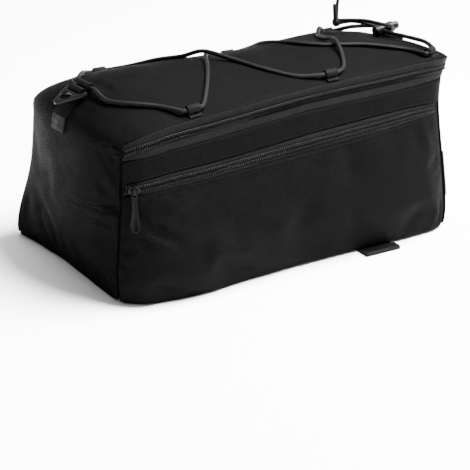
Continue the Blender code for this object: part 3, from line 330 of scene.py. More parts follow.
def new_group(name, inputs, outputs):
    group = bpy.data.node_groups.new(name, "ShaderNodeTree")
    for label, kind, value in inputs:
        socket = group.interface.new_socket(label, in_out="INPUT", socket_type=kind)
        if value is not None:
            socket.default_value = value
    for label in outputs:
        group.interface.new_socket(label, in_out="OUTPUT", socket_type="NodeSocketFloat")
    start = group.nodes.new("NodeGroupInput")
    end = group.nodes.new("NodeGroupOutput")
    return group, start.outputs, end.inputs


def put(tree, kind, settings=None, **links):
    """Adds a node. Each link is an input's name, or i and its number, with a socket or a value."""
    node = tree.nodes.new(kind)
    for key, value in (settings or {}).items():
        setattr(node, key, value)
    for key, value in links.items():
        slot = node.inputs[int(key[1:])] if key[1:].isdigit() else node.inputs[key]
        if isinstance(value, bpy.types.NodeSocket):
            tree.links.new(value, slot)
        else:
            slot.default_value = value
    return node


def maths(tree, operation, first, second=0.0, third=0.0):
    return put(tree, "ShaderNodeMath", {"operation": operation}, i0=first, i1=second, i2=third).outputs[0]


def wave(tree, turns, per_turn=2 * math.pi):
    return maths(tree, "SINE", maths(tree, "MULTIPLY", turns, per_turn))


def cloudy(tree, place, scale, detail, roughness=0.5):
    look = {"Scale": scale, "Detail": detail, "Roughness": roughness}
    return put(tree, "ShaderNodeTexNoise", None, Vector=place, **look).outputs[0]


def blend(tree, share, first, second):
    return put(tree, "ShaderNodeMix", {"data_type": "FLOAT"}, i0=share, i2=first, i3=second).outputs[0]


def spread(tree, share, low, high):
    """A share stretched so that it runs from 0 to 1 between two of its values."""
    return put(tree, "ShaderNodeMapRange", {"clamp": True}, i0=share, i1=low, i2=high).outputs[0]


def make_weave_group():
    """Plain weave: threads that cross, uneven threads, and a mottle of clouds and flecks."""
    group, given, result = new_group(
        "woven_threads",
        (
            ("Place", "NodeSocketVector", None),
            ("Pitch", "NodeSocketFloat", CLOTH_PITCH),
            ("Uneven", "NodeSocketFloat", CLOTH_UNEVEN),
        ),
        ("Height", "Mottle"),
    )
    place = given["Place"]
    split = put(group, "ShaderNodeSeparateXYZ", i0=place)
    warp, weft = [
        wave(group, maths(group, "DIVIDE", split.outputs[axis], given["Pitch"]), math.pi) for axis in (0, 1)
    ]
    crossing = maths(group, "MULTIPLY_ADD", maths(group, "MULTIPLY", warp, weft), 0.5, 0.5)
    slubs = cloudy(group, place, scale=620.0, detail=2.0)
    clouds = cloudy(group, place, scale=38.0, detail=5.0, roughness=0.7)
    flecks = cloudy(group, place, scale=560.0, detail=2.0)
    fleck_share = 0.6
    group.links.new(blend(group, given["Uneven"], crossing, slubs), result["Height"])
    mottle = spread(group, blend(group, fleck_share, clouds, flecks), low=0.38, high=0.62)
    group.links.new(mottle, result["Mottle"])
    return group


def make_rib_group():
    """Ribs along a strap, with the slanting picks between them."""
    group, given, result = new_group(
        "woven_ribs",
        (
            ("Across", "NodeSocketFloat", 0.0),
            ("Along", "NodeSocketFloat", 0.0),
            ("Pitch", "NodeSocketFloat", RIB_PITCH),
        ),
        ("Height",),
    )
    rib_share, pick_share = 0.7, 0.3
    across = maths(group, "DIVIDE", given["Across"], given["Pitch"])
    along = maths(group, "DIVIDE", given["Along"], given["Pitch"])
    rib = wave(group, across)
    pick = wave(group, maths(group, "ADD", along, across), 4 * math.pi)
    height = maths(group, "MULTIPLY_ADD", rib, rib_share, maths(group, "MULTIPLY", pick, pick_share))
    group.links.new(height, result["Height"])
    return group


def make_braid_group():
    """Two sets of strands that wind round a cord in opposite ways."""
    group, given, result = new_group(
        "cord_braid",
        (
            ("Place", "NodeSocketVector", None),
            ("Carriers", "NodeSocketFloat", CARRIERS),
            ("Lay", "NodeSocketFloat", LAY),
        ),
        ("Height",),
    )
    split = put(group, "ShaderNodeSeparateXYZ", i0=given["Place"])
    around = maths(group, "MULTIPLY", split.outputs[0], given["Carriers"])
    along = maths(group, "MULTIPLY", split.outputs[1], given["Lay"])
    one, two = [wave(group, maths(group, operation, around, along)) for operation in ("ADD", "SUBTRACT")]
    group.links.new(maths(group, "MAXIMUM", one, two), result["Height"])
    return group


def make_scuff_group():
    """Marks of handling, and a fine grain."""
    group, given, result = new_group(
        "handling_marks",
        (("Place", "NodeSocketVector", None), ("Scale", "NodeSocketFloat", SCUFF_SCALE)),
        ("Mark", "Grain"),
    )
    marks = cloudy(group, given["Place"], scale=given["Scale"], detail=6.0, roughness=0.65)
    group.links.new(spread(group, marks, low=0.45, high=0.72), result["Mark"])
    group.links.new(cloudy(group, given["Place"], scale=2600.0, detail=2.0), result["Grain"])
    return group


# Finishes


def grey(value, blue=None):
    """A neutral colour, or one whose blue is a little off."""
    return value, value, value if blue is None else blue


def finish_base(name, roughness, specular):
    material = bpy.data.materials.new(name)
    material.use_nodes = True
    surface = material.node_tree.nodes["Principled BSDF"]
    surface.inputs["Roughness"].default_value = roughness
    surface.inputs["Specular IOR Level"].default_value = specular
    return material, material.node_tree, surface


def colour_between(tree, surface, share, dark, light):
    mix = put(tree, "ShaderNodeMix", {"data_type": "RGBA"}, i0=share, i6=(*dark, 1), i7=(*light, 1))
    tree.links.new(mix.outputs[2], surface.inputs["Base Color"])


def roughness_between(tree, surface, share, reach, roughness):
    """Roughness that goes from its first value to its last as a share goes through its reach."""
    (low, high), (first, last) = reach, roughness
    node = put(tree, "ShaderNodeMapRange", None, i0=share, i1=low, i2=high, i3=first, i4=last)
    tree.links.new(node.outputs[0], surface.inputs["Roughness"])


def bump(tree, surface, height, distance, strength):
    node = put(tree, "ShaderNodeBump", None, Height=height, Distance=distance, Strength=strength)
    tree.links.new(node.outputs[0], surface.inputs["Normal"])


def woven_cloth(name, dark, light):
    """Plain-woven cloth on a piece's own UV map, which is in metres."""
    material, tree, surface = finish_base(name, roughness=0.75, specular=0.01)
    place = put(tree, "ShaderNodeUVMap", {"uv_map": "cloth"}).outputs[0]
    look = {"Pitch": CLOTH_PITCH, "Uneven": CLOTH_UNEVEN}
    weave = put(tree, "ShaderNodeGroup", {"node_tree": WEAVE}, Place=place, **look).outputs
    colour_between(tree, surface, weave["Mottle"], dark, light)
    roughness_between(tree, surface, weave["Mottle"], reach=(0.3, 0.7), roughness=(0.62, 0.85))
    bump(tree, surface, weave["Height"], CLOTH_DEPTH, strength=0.8)
    return material


def ribbed_webbing(name, dark, light, across, along, pitch=RIB_PITCH, roughness=(0.55, 0.8)):
    """Webbing whose ribs run along the strap, from Object coordinates."""
    material, tree, surface = finish_base(name, roughness=0.7, specular=0.03)
    place = put(tree, "ShaderNodeTexCoord").outputs["Object"]
    ways = put(tree, "ShaderNodeSeparateXYZ", i0=place).outputs
    look = {"Across": ways[across], "Along": ways[along], "Pitch": pitch}
    ribs = put(tree, "ShaderNodeGroup", {"node_tree": RIBS}, **look)
    clouds = cloudy(tree, place, scale=120.0, detail=4.0)
    colour_between(tree, surface, clouds, dark, light)
    roughness_between(tree, surface, clouds, reach=(0.3, 0.7), roughness=roughness)
    bump(tree, surface, ribs.outputs["Height"], RIB_DEPTH, strength=0.9)
    return material


def braided_cord(name, dark, light):
    """Braid on a cord's own UV map, which runs round the cord and along it in metres. Its colour is painted
    shade in the grooves between strands and painted highlight on their crests.
    """
    material, tree, surface = finish_base(name, roughness=0.6, specular=0.05)
    place = put(tree, "ShaderNodeUVMap", {"uv_map": "cloth"}).outputs[0]
    braid = put(tree, "ShaderNodeGroup", {"node_tree": BRAID}, Place=place, Carriers=CARRIERS, Lay=LAY)
    height = braid.outputs["Height"]
    low, high = -0.4, 1.0
    share = put(tree, "ShaderNodeMapRange", None, i0=height, i1=low, i2=high)
    # Painted shade and highlight: the colour goes dark in the braid's grooves and light on its crests
    colour_between(tree, surface, share.outputs[0], dark, light)
    roughness_between(tree, surface, height, reach=(low, high), roughness=(0.75, 0.5))
    bump(tree, surface, height, BRAID_DEPTH, strength=0.9)
    return material


def moulded(name, dark, light, roughness=(0.32, 0.55), specular=0.06):
    """Moulded plastic, thread or painted metal with handling marks."""
    material, tree, surface = finish_base(name, roughness[0], specular)
    place = put(tree, "ShaderNodeTexCoord").outputs["Object"]
    marks = put(tree, "ShaderNodeGroup", {"node_tree": SCUFFS}, Place=place, Scale=SCUFF_SCALE)
    colour_between(tree, surface, marks.outputs["Mark"], dark, light)
    roughness_between(tree, surface, marks.outputs["Mark"], reach=(0.0, 1.0), roughness=roughness)
    bump(tree, surface, marks.outputs["Grain"], GRAIN_DEPTH, strength=0.6)
    return material


# Mesh helpers


def add_object(name, mesh, material):
    piece = bpy.data.objects.new(name, mesh)
    bpy.context.scene.collection.objects.link(piece)
    mesh.materials.clear()
    mesh.materials.append(material)
    return piece


def mesh_from(shape, name):
    mesh = bpy.data.meshes.new(name)
    shape.to_mesh(mesh)
    shape.free()
    return mesh


def merged_copy(node):
    """A bmesh of a CAD node with its loose triangles merged."""
    shape = bmesh.new()
    shape.from_mesh(NODES[node].data)
    bmesh.ops.remove_doubles(shape, verts=shape.verts, dist=SAME_PLACE)
    shape.normal_update()
    return shape


def join_faces(shape):
    """Joins a cloth wall's triangles into four-sided faces."""
    bmesh.ops.join_triangles(
        shape, faces=shape.faces, angle_face_threshold=JOIN_FACE_TURN, angle_shape_threshold=JOIN_SHAPE_TURN
    )


def select_only(piece):
    bpy.ops.object.select_all(action="DESELECT")
    piece.select_set(True)
    bpy.context.view_layer.objects.active = piece


def apply_modifiers(piece):
    select_only(piece)
    for modifier in list(piece.modifiers):
        bpy.ops.object.modifier_apply(modifier=modifier.name)


def smooth_shade(piece, degrees):
    select_only(piece)
    bpy.ops.object.shade_smooth_by_angle(angle=math.radians(degrees))


def subdivide(piece, levels):
    rounded = piece.modifiers.new("rounded", "SUBSURF")
    rounded.levels = rounded.render_levels = levels
    apply_modifiers(piece)


def cloth_surface(mesh):
    return BVHTree.FromPolygons([v.co for v in mesh.vertices], [p.vertices for p in mesh.polygons])


def dress(piece, body, slot, *nodes):
    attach(piece, body)
    if nodes:
        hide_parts(*nodes)
    return piece


def set_uv(piece, rule):
    mesh = piece.data
    layer = mesh.uv_layers.get("cloth") or mesh.uv_layers.new(name="cloth")
    for face in mesh.polygons:
        for loop in face.loop_indices:
            point = mesh.vertices[mesh.loops[loop].vertex_index].co
            layer.data[loop].uv = rule(point, face.normal)


def over_profile(point, _):
    """Cloth place on the front end and lid: across, and the way over the nose."""
    best, nearest, run = 0.0, math.inf, 0.0
    for (ax, az), (bx, bz) in zip(LID_PROFILE, LID_PROFILE[1:]):
        length = math.hypot(bx - ax, bz - az)
        share = max(0.0, min(1.0, ((point.x - ax) * (bx - ax) + (point.z - az) * (bz - az)) / length**2))
        gap = math.hypot(point.x - ax - (bx - ax) * share, point.z - az - (bz - az) * share)
        if gap < nearest:
            nearest, best = gap, run + length * share
        run += length
    return point.y, best


def by_facing(point, normal):
    """Cloth place by the way that the face looks."""
    size = [abs(c) for c in normal]
    if size[2] > max(size[0], size[1]):
        return point.x, point.y
    if size[1] > size[0]:
        return point.x, point.z
    return point.y, point.z


# Soft panels


def outer_skin(node, way, sharp):
    """The outer faces of a cloth wall, found from the face that looks most along a direction."""
    shape = merged_copy(node)
    way = Vector(way)
    middle = sum((v.co for v in shape.verts), Vector()) / len(shape.verts)

    def outness(face):
        return face.normal.dot(way) * FACING_WEIGHT + (face.calc_center_median() - middle).dot(way)

    seed = max(shape.faces, key=outness)
    limit = math.cos(math.radians(sharp))
    found, front = {seed}, [seed]
    while front:
        face = front.pop()
        for edge in face.edges:
            for other in edge.link_faces:
                if other not in found and other.normal.dot(face.normal) > limit:
                    found.add(other)
                    front.append(other)
    bmesh.ops.delete(shape, geom=[f for f in shape.faces if f not in found], context="FACES")
    join_faces(shape)
    return shape


def border_distance(mesh):
    """The vertices on the mesh's open border, and each vertex's distance from it."""
    uses = {}
    for face in mesh.polygons:
        for key in face.edge_keys:
            uses[key] = uses.get(key, 0) + 1
    rim = sorted({v for key, count in uses.items() if count == 1 for v in key})
    points = np.array([v.co for v in mesh.vertices])
    edge = points[rim]
    far = np.empty(len(points))
    for start in range(0, len(points), POINTS_AT_ONCE):
        block = points[start:start + POINTS_AT_ONCE]
        far[start:start + POINTS_AT_ONCE] = np.sqrt(((block[:, None] - edge[None]) ** 2).sum(2)).min(1)
    return rim, far


def settle_cloth(piece, pressure, spare, stiff, most):
    """Runs the cloth with its border sewn down, so that its spare width buckles, and limits each move."""
    rim, far = border_distance(piece.data)
    before = [v.co.copy() for v in piece.data.vertices]
    sewn = piece.vertex_groups.new(name="sewn")
    sewn.add(rim, 1.0, "REPLACE")
    cloth = piece.modifiers.new("cloth", "CLOTH")
    settings = cloth.settings
    settings.quality = 6
    settings.mass = 0.25
    settings.tension_stiffness = 20
    settings.compression_stiffness = 20
    settings.shear_stiffness = 8
    settings.bending_stiffness = stiff
    settings.air_damping = 4
    settings.vertex_group_mass = "sewn"
    settings.shrink_min = -spare
    settings.shrink_max = -spare
    settings.use_pressure = True
    settings.uniform_pressure_force = pressure
    settings.effector_weights.gravity = 0
    cloth.collision_settings.use_collision = False
    for step in range(1, CLOTH_STEPS + 1):
        bpy.context.scene.frame_set(step)
    apply_modifiers(piece)
    for vertex, rest, gap in zip(piece.data.vertices, before, far):
        move = vertex.co - rest
        limit = most * min(1.0, gap / SETTLE_FADE)
        if move.length > limit:
            move *= limit / max(move.length, TINY)
        vertex.co = rest + move
    bpy.context.scene.frame_set(1)


def crease_lines(tree, creases):
    """Each crease's two ends on the cloth behind the pixels, the way out of it, and its width and depth."""
    lines = []
    for start, end, width, depth in creases:
        first, last = [tree.ray_cast(CAMERA_PLACE, pixel_ray(pixel)) for pixel in (start, end)]
        if first[0] is not None and last[0] is not None:
            lines.append((first[0], last[0], (first[1] + last[1]).normalized(), width, depth))
    return lines


def crease_depth(point, start, end, facing, width, depth):
    """How far one crease moves a point of the cloth: a valley with a raised lip on each side."""
    line = end - start
    share = (point - start).dot(line) / line.length_squared
    if not -CREASE_PAST < share < 1 + CREASE_PAST:
        return 0.0
    side = (point - start).dot(facing.cross(line).normalized())
    height = (point - start - line * share).dot(facing)
    if abs(side) > width * CREASE_SIDE or abs(height) > CREASE_DEEP:
        return 0.0
    taper = max(0.0, 1 - (2 * abs(share - 0.5) / CREASE_TAPER) ** 2)
    across = side / width
    lip = LIP_HIGH * math.exp(-((abs(across) - LIP_PLACE) ** 2) / LIP_SPREAD)
    return depth * taper * (lip - math.exp(-across * across))


def press_creases(piece, creases, pucker, drift):
    """Presses the photograph's creases, the seam's pucker and a slow unevenness into the cloth."""
    mesh = piece.data
    lines = crease_lines(cloth_surface(mesh), creases)
    rim, far = border_distance(mesh)
    normals = [v.normal.copy() for v in mesh.vertices]
    places = [v.co.copy() for v in mesh.vertices]
    for vertex, point, normal, gap in zip(mesh.vertices, places, normals, far):
        move = sum(crease_depth(point, *line) for line in lines)
        fade = math.exp(-((gap / PUCKER_REACH) ** 2)) * (1 - math.exp(-((gap / PUCKER_START) ** 2)))
        ripple = noise.noise(point / PUCKER_STEP)
        ripple += FINE_SHARE * noise.noise(point / (PUCKER_STEP * FINE_STEP) + FINE_SHIFT)
        move += pucker * fade * ripple * 2
        move += drift * min(1.0, gap / DRIFT_FADE) * noise.noise(point / DRIFT_STEP + DRIFT_SHIFT)
        vertex.co = point + normal * move


def cloth_panel(name, node, way, rule, material, creases, simulate=None, thick=CLOTH_THICK,
                pucker=PUCKER, drift=DRIFT, sharp=48):
    """A panel of cloth over a CAD wall: its outer skin, settled, creased and given its thickness inwards."""
    piece = add_object(name, mesh_from(outer_skin(node, way, sharp), name), material)
    subdivide(piece, levels=2)
    if simulate:
        settle_cloth(piece, *simulate)
    subdivide(piece, levels=1)
    press_creases(piece, creases, pucker, drift)
    set_uv(piece, rule)
    wall = piece.modifiers.new("wall", "SOLIDIFY")
    wall.thickness = thick
    wall.offset = -1
    wall.use_even_offset = False
    apply_modifiers(piece)
    piece.data.shade_smooth()
    dress(piece, "bag", "shell_cloth", node)
    return piece


def closed_panel(name, node, material):
    """A whole copy of a wall, with its sharp edges kept and its faces rounded."""
    shape = merged_copy(node)
    join_faces(shape)
    creased = shape.edges.layers.float.get("crease_edge") or shape.edges.layers.float.new("crease_edge")
    for edge in shape.edges:
        if len(edge.link_faces) == 2 and edge.calc_face_angle() > KEPT_EDGE_TURN:
            edge[creased] = KEPT_EDGE
    piece = add_object(name, mesh_from(shape, name), material)
    subdivide(piece, levels=2)
    set_uv(piece, by_facing)
    smooth_shade(piece, degrees=45)
    dress(piece, "bag", "shell_cloth", node)
    return piece


def bevelled(name, node, body, slot, material, width, recess=None):
    """A copy of a CAD node with its edges rounded over. A recess is its rim's width and its depth."""
    shape = merged_copy(node)
    bmesh.ops.dissolve_limit(shape, angle_limit=FLAT_TURN, verts=shape.verts, edges=shape.edges)
    if recess:
        rim, deep = recess
        broad = sorted(shape.faces, key=lambda face: face.calc_area())[-2:]
        bmesh.ops.inset_individual(shape, faces=broad, thickness=rim)
        bmesh.ops.inset_individual(shape, faces=broad, thickness=deep * 0.5, depth=-deep)
    piece = add_object(name, mesh_from(shape, name), material)
    edge = piece.modifiers.new("edge", "BEVEL")
    edge.width = width
    edge.segments = BEVEL_STEPS
    edge.limit_method = "ANGLE"
    edge.angle_limit = BEVEL_TURN
    edge.use_clamp_overlap = True
    edge.harden_normals = False
    apply_modifiers(piece)
    set_uv(piece, by_facing)
    smooth_shade(piece, degrees=42)
    return dress(piece, body, slot, node)


# Cords


def smooth_route(points, step):
    """Evenly spaced points on one smooth curve through a route."""
    points = [Vector(p) for p in points]
    ends = [points[0] * 2 - points[1]] + points + [points[-1] * 2 - points[-2]]
    curve = [points[0].copy()]
    for a, b, c, d in zip(ends, ends[1:], ends[2:], ends[3:]):
        reach = (c - b).length
        before, ahead = (c - a) / 2, (d - b) / 2
        before *= min(1.0, reach / max(before.length, TINY))
        ahead *= min(1.0, reach / max(ahead.length, TINY))
        count = max(2, round(reach / step))
        for n in range(1, count + 1):
            t = n / count
            spot = b * (2 * t**3 - 3 * t**2 + 1) + before * (t**3 - 2 * t**2 + t)
            curve.append(spot + c * (3 * t**2 - 2 * t**3) + ahead * (t**3 - t**2))
    return curve


def cord_rings(points, radius):
    """The rings of a cord with domed ends: each one's middle, way along, way out, radius and place along."""
    last = len(points) - 1
    tangents = [(points[min(i + 1, last)] - points[max(i - 1, 0)]).normalized() for i in range(last + 1)]
    side = tangents[0].orthogonal().normalized()
    run = 0.0
    stations = []
    for i, (point, tangent) in enumerate(zip(points, tangents)):
        if i:
            side = tangents[i - 1].rotation_difference(tangent) @ side
            run += (point - points[i - 1]).length
        stations.append((point, tangent, side, radius, run))

    def dome(station, sign, rings):
        point, tangent, way, size, place = station
        return [
            (point + tangent * size * DOME_REACH * depth * sign, tangent, way, size * share, place)
            for depth, share in rings
        ]

    return dome(stations[0], -1, DOME_RINGS) + stations + dome(stations[-1], 1, DOME_RINGS[::-1])


def cord_mesh(name, points, radius):
    """A round cord along points. Its UV runs round the cord and along it in metres."""
    rings = cord_rings(points, radius)
    sides = CORD_SIDES
    verts, faces, uvs = [], [], []
    for point, tangent, way, size, place in rings:
        other = tangent.cross(way)
        for k in range(sides):
            turn = 2 * math.pi * k / sides
            verts.append(point + way * size * math.cos(turn) + other * size * math.sin(turn))
    for r in range(len(rings) - 1):
        low, high = rings[r][-1], rings[r + 1][-1]
        for k in range(sides):
            j = (k + 1) % sides
            faces.append((r * sides + k, r * sides + j, (r + 1) * sides + j, (r + 1) * sides + k))
            uvs += [(k / sides, low), ((k + 1) / sides, low), ((k + 1) / sides, high), (k / sides, high)]
    last = (len(rings) - 1) * sides
    faces.append(tuple(range(sides))[::-1])
    faces.append(tuple(range(last, last + sides)))
    uvs += [(0, rings[0][-1])] * sides
    uvs += [(0, rings[-1][-1])] * sides
    mesh = bpy.data.meshes.new(name)
    mesh.from_pydata(verts, [], faces)
    layer = mesh.uv_layers.new(name="cloth")
    for loop, uv in enumerate(uvs):
        layer.data[loop].uv = uv
    mesh.shade_smooth()
    return add_object(name, mesh, CORD_BRAID)


def knot_route():
    """Turns of cord round the knot's own axis, closer to it at both ends."""
    side = KNOT_WAY.orthogonal().normalized()
    other = KNOT_WAY.cross(side)
    wraps = []
    for n in range(KNOT_STEPS + 1):
        share = n / KNOT_STEPS
        turn = 2 * math.pi * KNOT_TURNS * share
        ends = min(share, 1 - share)
        reach = KNOT_REACH * min(1.0, KNOT_RISE * ends + KNOT_NARROW)
        slide = (share - 0.5) * KNOT_LONG
        wraps.append(KNOT + KNOT_WAY * slide + side * reach * math.cos(turn) + other * reach * math.sin(turn))
    return wraps


def make_cords():
    lacing = cord_mesh("elastic_lacing", smooth_route(LACING, LACING_STEP), CORD / 2)
    dress(lacing, "bag", "elastic_cord", "bungee_lacing")
    knot = cord_mesh("cord_end_knot", knot_route(), KNOT_CORD / 2)
    dress(knot, "bag", "elastic_cord", "cord_knot")
    for number, points in enumerate(FREE_ENDS, 1):
        route = smooth_route(points, END_STEP)
        end = cord_mesh(f"free_cord_end_{number}", route, END_CORD / 2)
        dress(end, "bag", "elastic_cord", f"cord_tail_{number}", f"cord_tip_{number}")


# Zip chains and seams


def zip_line(table, step):
    """Evenly spaced stations on a zip: its middle, the ways along and out, and the band's width."""
    middles = smooth_route([row[:3] for row in table], ZIP_STEP)
    runs, marks = [0.0], [0.0]
    for a, b in zip(middles, middles[1:]):
        runs.append(runs[-1] + (b - a).length)
    for a, b in zip(table, table[1:]):
        marks.append(marks[-1] + math.dist(a[:3], b[:3]))
    marks = np.array(marks) * runs[-1] / marks[-1]
    places = np.arange(ZIP_END, runs[-1] - ZIP_END, step)
    spots = np.stack([np.interp(places, runs, [m[axis] for m in middles]) for axis in range(3)], 1)
    others = np.stack([np.interp(places, marks, [row[column] for row in table]) for column in (3, 4, 5)], 1)
    stations = []
    for number, (spot, (out_x, out_y, width)) in enumerate(zip(spots, others)):
        near = max(1, min(number, len(spots) - 2))
        along = Vector(spots[near + 1] - spots[near - 1]).normalized()
        outward = Vector((out_x, out_y, 0.0))
        outward = (outward - along * outward.dot(along)).normalized()
        stations.append((Vector(spot), along, outward, width))
    return stations


def select_end(x=0.0, z=0.0):
    """In edit mode, selects only the faces of the active primitive that look along x or z."""
    bpy.ops.mesh.select_all(action="DESELECT")
    mesh = bpy.context.object.data
    shape = bmesh.from_edit_mesh(mesh)
    for face in shape.faces:
        face.select_set(face.normal.x * x + face.normal.z * z > END_FACING)
    bmesh.update_edit_mesh(mesh)


def shaped_tooth():
    """One zip tooth at its size, with a narrower, rounded top: x along the zip, y across it, z outwards."""
    bpy.ops.object.select_all(action="DESELECT")
    bpy.ops.mesh.primitive_cube_add(size=1)
    bpy.ops.object.mode_set(mode="EDIT")
    bpy.ops.transform.resize(value=(TOOTH_LONG, TOOTH_WIDE, TOOTH_HIGH))
    select_end(z=1)
    bpy.ops.transform.resize(value=(TOOTH_TOP, TOOTH_TOP, 1))
    bpy.ops.mesh.bevel(offset=TOOTH_BEVEL, segments=1, affect="EDGES")
    bpy.ops.object.mode_set(mode="OBJECT")
    return bpy.context.object


def shaped_stitch():
    """One thread end to end along x, thick in its middle and sunk at its ends."""
    bpy.ops.object.select_all(action="DESELECT")
    middle = STITCH_LONG * STITCH_MIDDLE
    turn = (0, math.pi / 2, 0)
    bpy.ops.mesh.primitive_cylinder_add(vertices=6, radius=STITCH_THICK, depth=middle, rotation=turn)
    bpy.ops.object.transform_apply(location=False, rotation=True, scale=False)
    bpy.ops.object.mode_set(mode="EDIT")
    for side in (-1, 1):
        select_end(x=side)
        sink = (side * (STITCH_LONG - middle) / 2, 0, -STITCH_THICK)
        bpy.ops.mesh.extrude_region_move(TRANSFORM_OT_translate={"value": sink})
        bpy.ops.transform.resize(value=(1, STITCH_TIP, STITCH_TIP))
    bpy.ops.object.mode_set(mode="OBJECT")
    return bpy.context.object


def set_out(name, pattern, places, material, slot):
    """Copies of a pattern in one piece. Each place is its middle and the ways along, across and out."""
    shape = np.array([vertex.co for vertex in pattern.data.vertices])
    ring = [tuple(face.vertices) for face in pattern.data.polygons]
    points, faces = [], []
    for number, (middle, *ways) in enumerate(places):
        points.append(shape @ np.array(ways) + np.array(middle))
        faces += [tuple(corner + number * len(shape) for corner in face) for face in ring]
    mesh = bpy.data.meshes.new(name)
    mesh.from_pydata(np.concatenate(points).tolist(), [], faces)
    bpy.data.objects.remove(pattern)
    piece = add_object(name, mesh, material)
    smooth_shade(piece, degrees=50)
    return dress(piece, "bag", slot)


def zip_chain(name, table):
    """The zip's teeth: a row of short bars on each side of the middle line, half a pitch apart."""
    places = []
    for number, (spot, along, outward, width) in enumerate(zip_line(table, TOOTH_PITCH / 2)):
        up = outward.cross(along)
        side = 1 if number % 2 else -1
        places.append((spot + up * (side * TOOTH_PLACE) + outward * TOOTH_SINK, along, up, outward))
    return set_out(name, shaped_tooth(), places, HIGHLIT_TEETH, "zip_coil")


def beside_zip(table, offset):
    """Places beside a zip's band, this far beyond its upper border, or its lower one when it's negative."""
    places = []
    for spot, along, outward, width in zip_line(table, STITCH_STEP):
        reach = width / 2 + abs(offset)
        places.append((spot + outward.cross(along) * math.copysign(reach, offset), outward))
    return places


def laid_on(pieces, route):
    """A route's places moved onto the cloth behind them, each with the cloth's own normal."""
    trees = [cloth_surface(piece.data) for piece in pieces]
    found = []
    for spot, outward in route:
        hits = [tree.ray_cast(spot + outward * LAY_FROM, -outward, LAY_REACH) for tree in trees]
        hits = [hit for hit in hits if hit[0] is not None]
        if hits:
            nearest = min(hits, key=lambda hit: hit[3])
            found.append((nearest[0], nearest[1]))
    return found


def sew(name, row):
    """Short threads between a row's places on the cloth, apart from its breaks."""
    places = []
    for (a, normal), (b, _) in zip(row, row[1:]):
        gap = b - a
        if SHORTEST_GAP < gap.length < LONGEST_GAP:
            along = gap.normalized()
            across = normal.cross(along).normalized()
            places.append(((a + b) / 2 + normal * (STITCH_THICK / 2), along, across, along.cross(across)))
    return set_out(name, shaped_stitch(), places, THREAD, "shell_cloth")


# The studio and the finishes

CAMERA = make_camera()
make_studio()
WEAVE = make_weave_group()
RIBS = make_rib_group()
BRAID = make_braid_group()
SCUFFS = make_scuff_group()

X, Y, Z = range(3)
SHELL = woven_cloth("black_shell_cloth", grey(0.0005), grey(0.0017))
POCKET = woven_cloth("black_pocket_cloth", grey(0.0006), grey(0.0021))
TAPE = ribbed_webbing("zip_tape_weave", grey(0.0008), grey(0.0024), Z, X, pitch=0.0011)
# A darker copy of the same black webbing: painted shade on the strap folds and the rear patch
SHADED_WEBBING_Y = ribbed_webbing("black_webbing_lengthwise_shaded", grey(0.0003), grey(0.0011), Y, X)
WEBBING_X = ribbed_webbing("black_webbing_crosswise", grey(0.0007), grey(0.0020), X, Y)
CORD_BRAID = braided_cord("black_elastic_braid", grey(0.0004), grey(0.0024))
PLASTIC = moulded("black_moulded_plastic", grey(0.0005), grey(0.0016))
COIL = moulded("zip_coil_nylon", grey(0.0004), grey(0.0008), roughness=(0.5, 0.7), specular=0.01)
# The teeth are the coil's nylon made several times lighter: painted highlight on their tops
HIGHLIT_TEETH = moulded(
    "zip_teeth_nylon_highlit", grey(0.0042, 0.0043), grey(0.0066, 0.0067), roughness=(0.35, 0.5), specular=0.05
)
DARK_METAL = moulded("black_plated_metal", grey(0.0003), grey(0.0011), roughness=(0.28, 0.45), specular=0.045)
THREAD = moulded("black_sewing_thread", grey(0.0012), grey(0.0022), roughness=(0.5, 0.7), specular=0.02)
HOOK_TAPE = ribbed_webbing(
    "hook_and_loop_strap", grey(0.0006), grey(0.0018), X, Y, pitch=0.0022, roughness=(0.4, 0.6)
)
REFLECTIVE = ribbed_webbing(
    "reflective_tape", grey(0.0500, 0.0510), grey(0.1000, 0.1020), Z, Y, pitch=0.0018, roughness=(0.28, 0.4)
)

# The pieces. A cloth run is its pressure, spare width, stiffness and largest move

make_cords()

LID = cloth_panel(
    "front_and_lid_cloth", "top_front_panel", (0, 0, 1), over_profile, SHELL, FRONT_CREASES + LID_CREASES,
    simulate=(1.0, 0.008, 5.0, 0.0015), sharp=60
)
LEFT = closed_panel("left_side_cloth", "side_panel_left", POCKET)
RIGHT = cloth_panel(
    "right_side_cloth", "side_panel_right", (0, 1, 0), by_facing, SHELL, (), simulate=(0.8, 0.012, 4.0, 0.003)
)
REAR = cloth_panel("rear_cloth", "rear_panel", (1, 0, 0), by_facing, SHELL, (), pucker=0.0002, drift=0.0)
SIDE_POCKET = cloth_panel(
    "side_pocket_cloth", "pocket_panel", (0, -1, 0), by_facing, POCKET, POCKET_CREASES,
    simulate=(1.0, 0.014, 4.0, 0.003), thick=0.0012
)

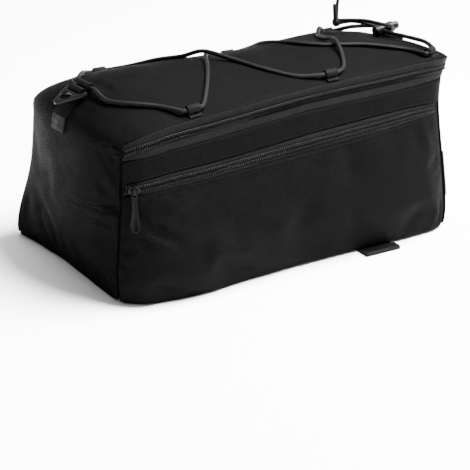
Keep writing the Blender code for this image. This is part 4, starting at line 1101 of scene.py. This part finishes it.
bevelled("base_cloth", "base_panel", "bag", "shell_cloth", SHELL, width=0.0012)
for tape in ("main_zip_upper_tape", "main_zip_lower_tape", "pocket_zip_upper_tape", "pocket_zip_lower_tape"):
    bevelled(tape.replace("_tape", "_weave"), tape, "bag", "zip_tape", TAPE, width=0.0003)
for coil in ("main_zip_coil", "pocket_zip_coil"):
    bevelled(coil + "_bed", coil, "bag", "zip_coil", COIL, width=0.0002)
for number in (1, 2, 3):
    for side in ("left", "right"):
        tab = f"{side}_{number}"
        bevelled("woven_loop_" + tab, "cord_loop_" + tab, "bag", "webbing", WEBBING_X, width=0.0003)
bevelled("front_strap_fold", "front_webbing", "bag", "webbing", SHADED_WEBBING_Y, width=0.0004)
bevelled("rear_strap_fold", "rear_webbing", "bag", "webbing", SHADED_WEBBING_Y, width=0.0004)
bevelled("rear_strap_patch", "rear_patch", "bag", "webbing", SHADED_WEBBING_Y, width=0.0004)
bevelled("rear_band", "rear_reflective_band", "bag", "reflective_band", REFLECTIVE, width=0.0003)
for end in ("front", "rear"):
    bevelled("rack_strap_fold_" + end, "rack_strap_" + end, "bag", "webbing", HOOK_TAPE, width=0.0005)
for ring in ("front_ring", "rear_ring"):
    bevelled(ring.replace("_ring", "_triangle_ring"), ring, ring, "black_plastic", PLASTIC, width=0.0009)
bevelled("toggle_barrel", "cord_lock_body", "bag", "black_plastic", PLASTIC, width=0.0005)
bevelled("toggle_button", "cord_lock_button", "cord_lock_button", "black_plastic", PLASTIC, width=0.0006)
for zipper in ("pocket_zip", "main_zip"):
    pull = zipper + "_pull"
    bevelled(zipper + "_slider_body", zipper + "_slider", "bag", "dark_metal", DARK_METAL, width=0.0003)
    bevelled(pull + "_tab", pull, pull, "dark_metal", DARK_METAL, width=0.00025, recess=(0.0011, 0.0003))

zip_chain("main_zip_teeth", MAIN_ZIP)
zip_chain("pocket_zip_teeth", POCKET_ZIP)
sew("lid_edge_stitches", laid_on([LID], beside_zip(MAIN_ZIP, HEM)))
sew("wall_top_stitches", laid_on([LEFT, REAR, RIGHT], beside_zip(MAIN_ZIP, -HEM)))
sew("pocket_hem_stitches", laid_on([SIDE_POCKET], beside_zip(POCKET_ZIP, -HEM)))
sew("pocket_top_stitches", laid_on([LEFT], beside_zip(POCKET_ZIP, HEM)))
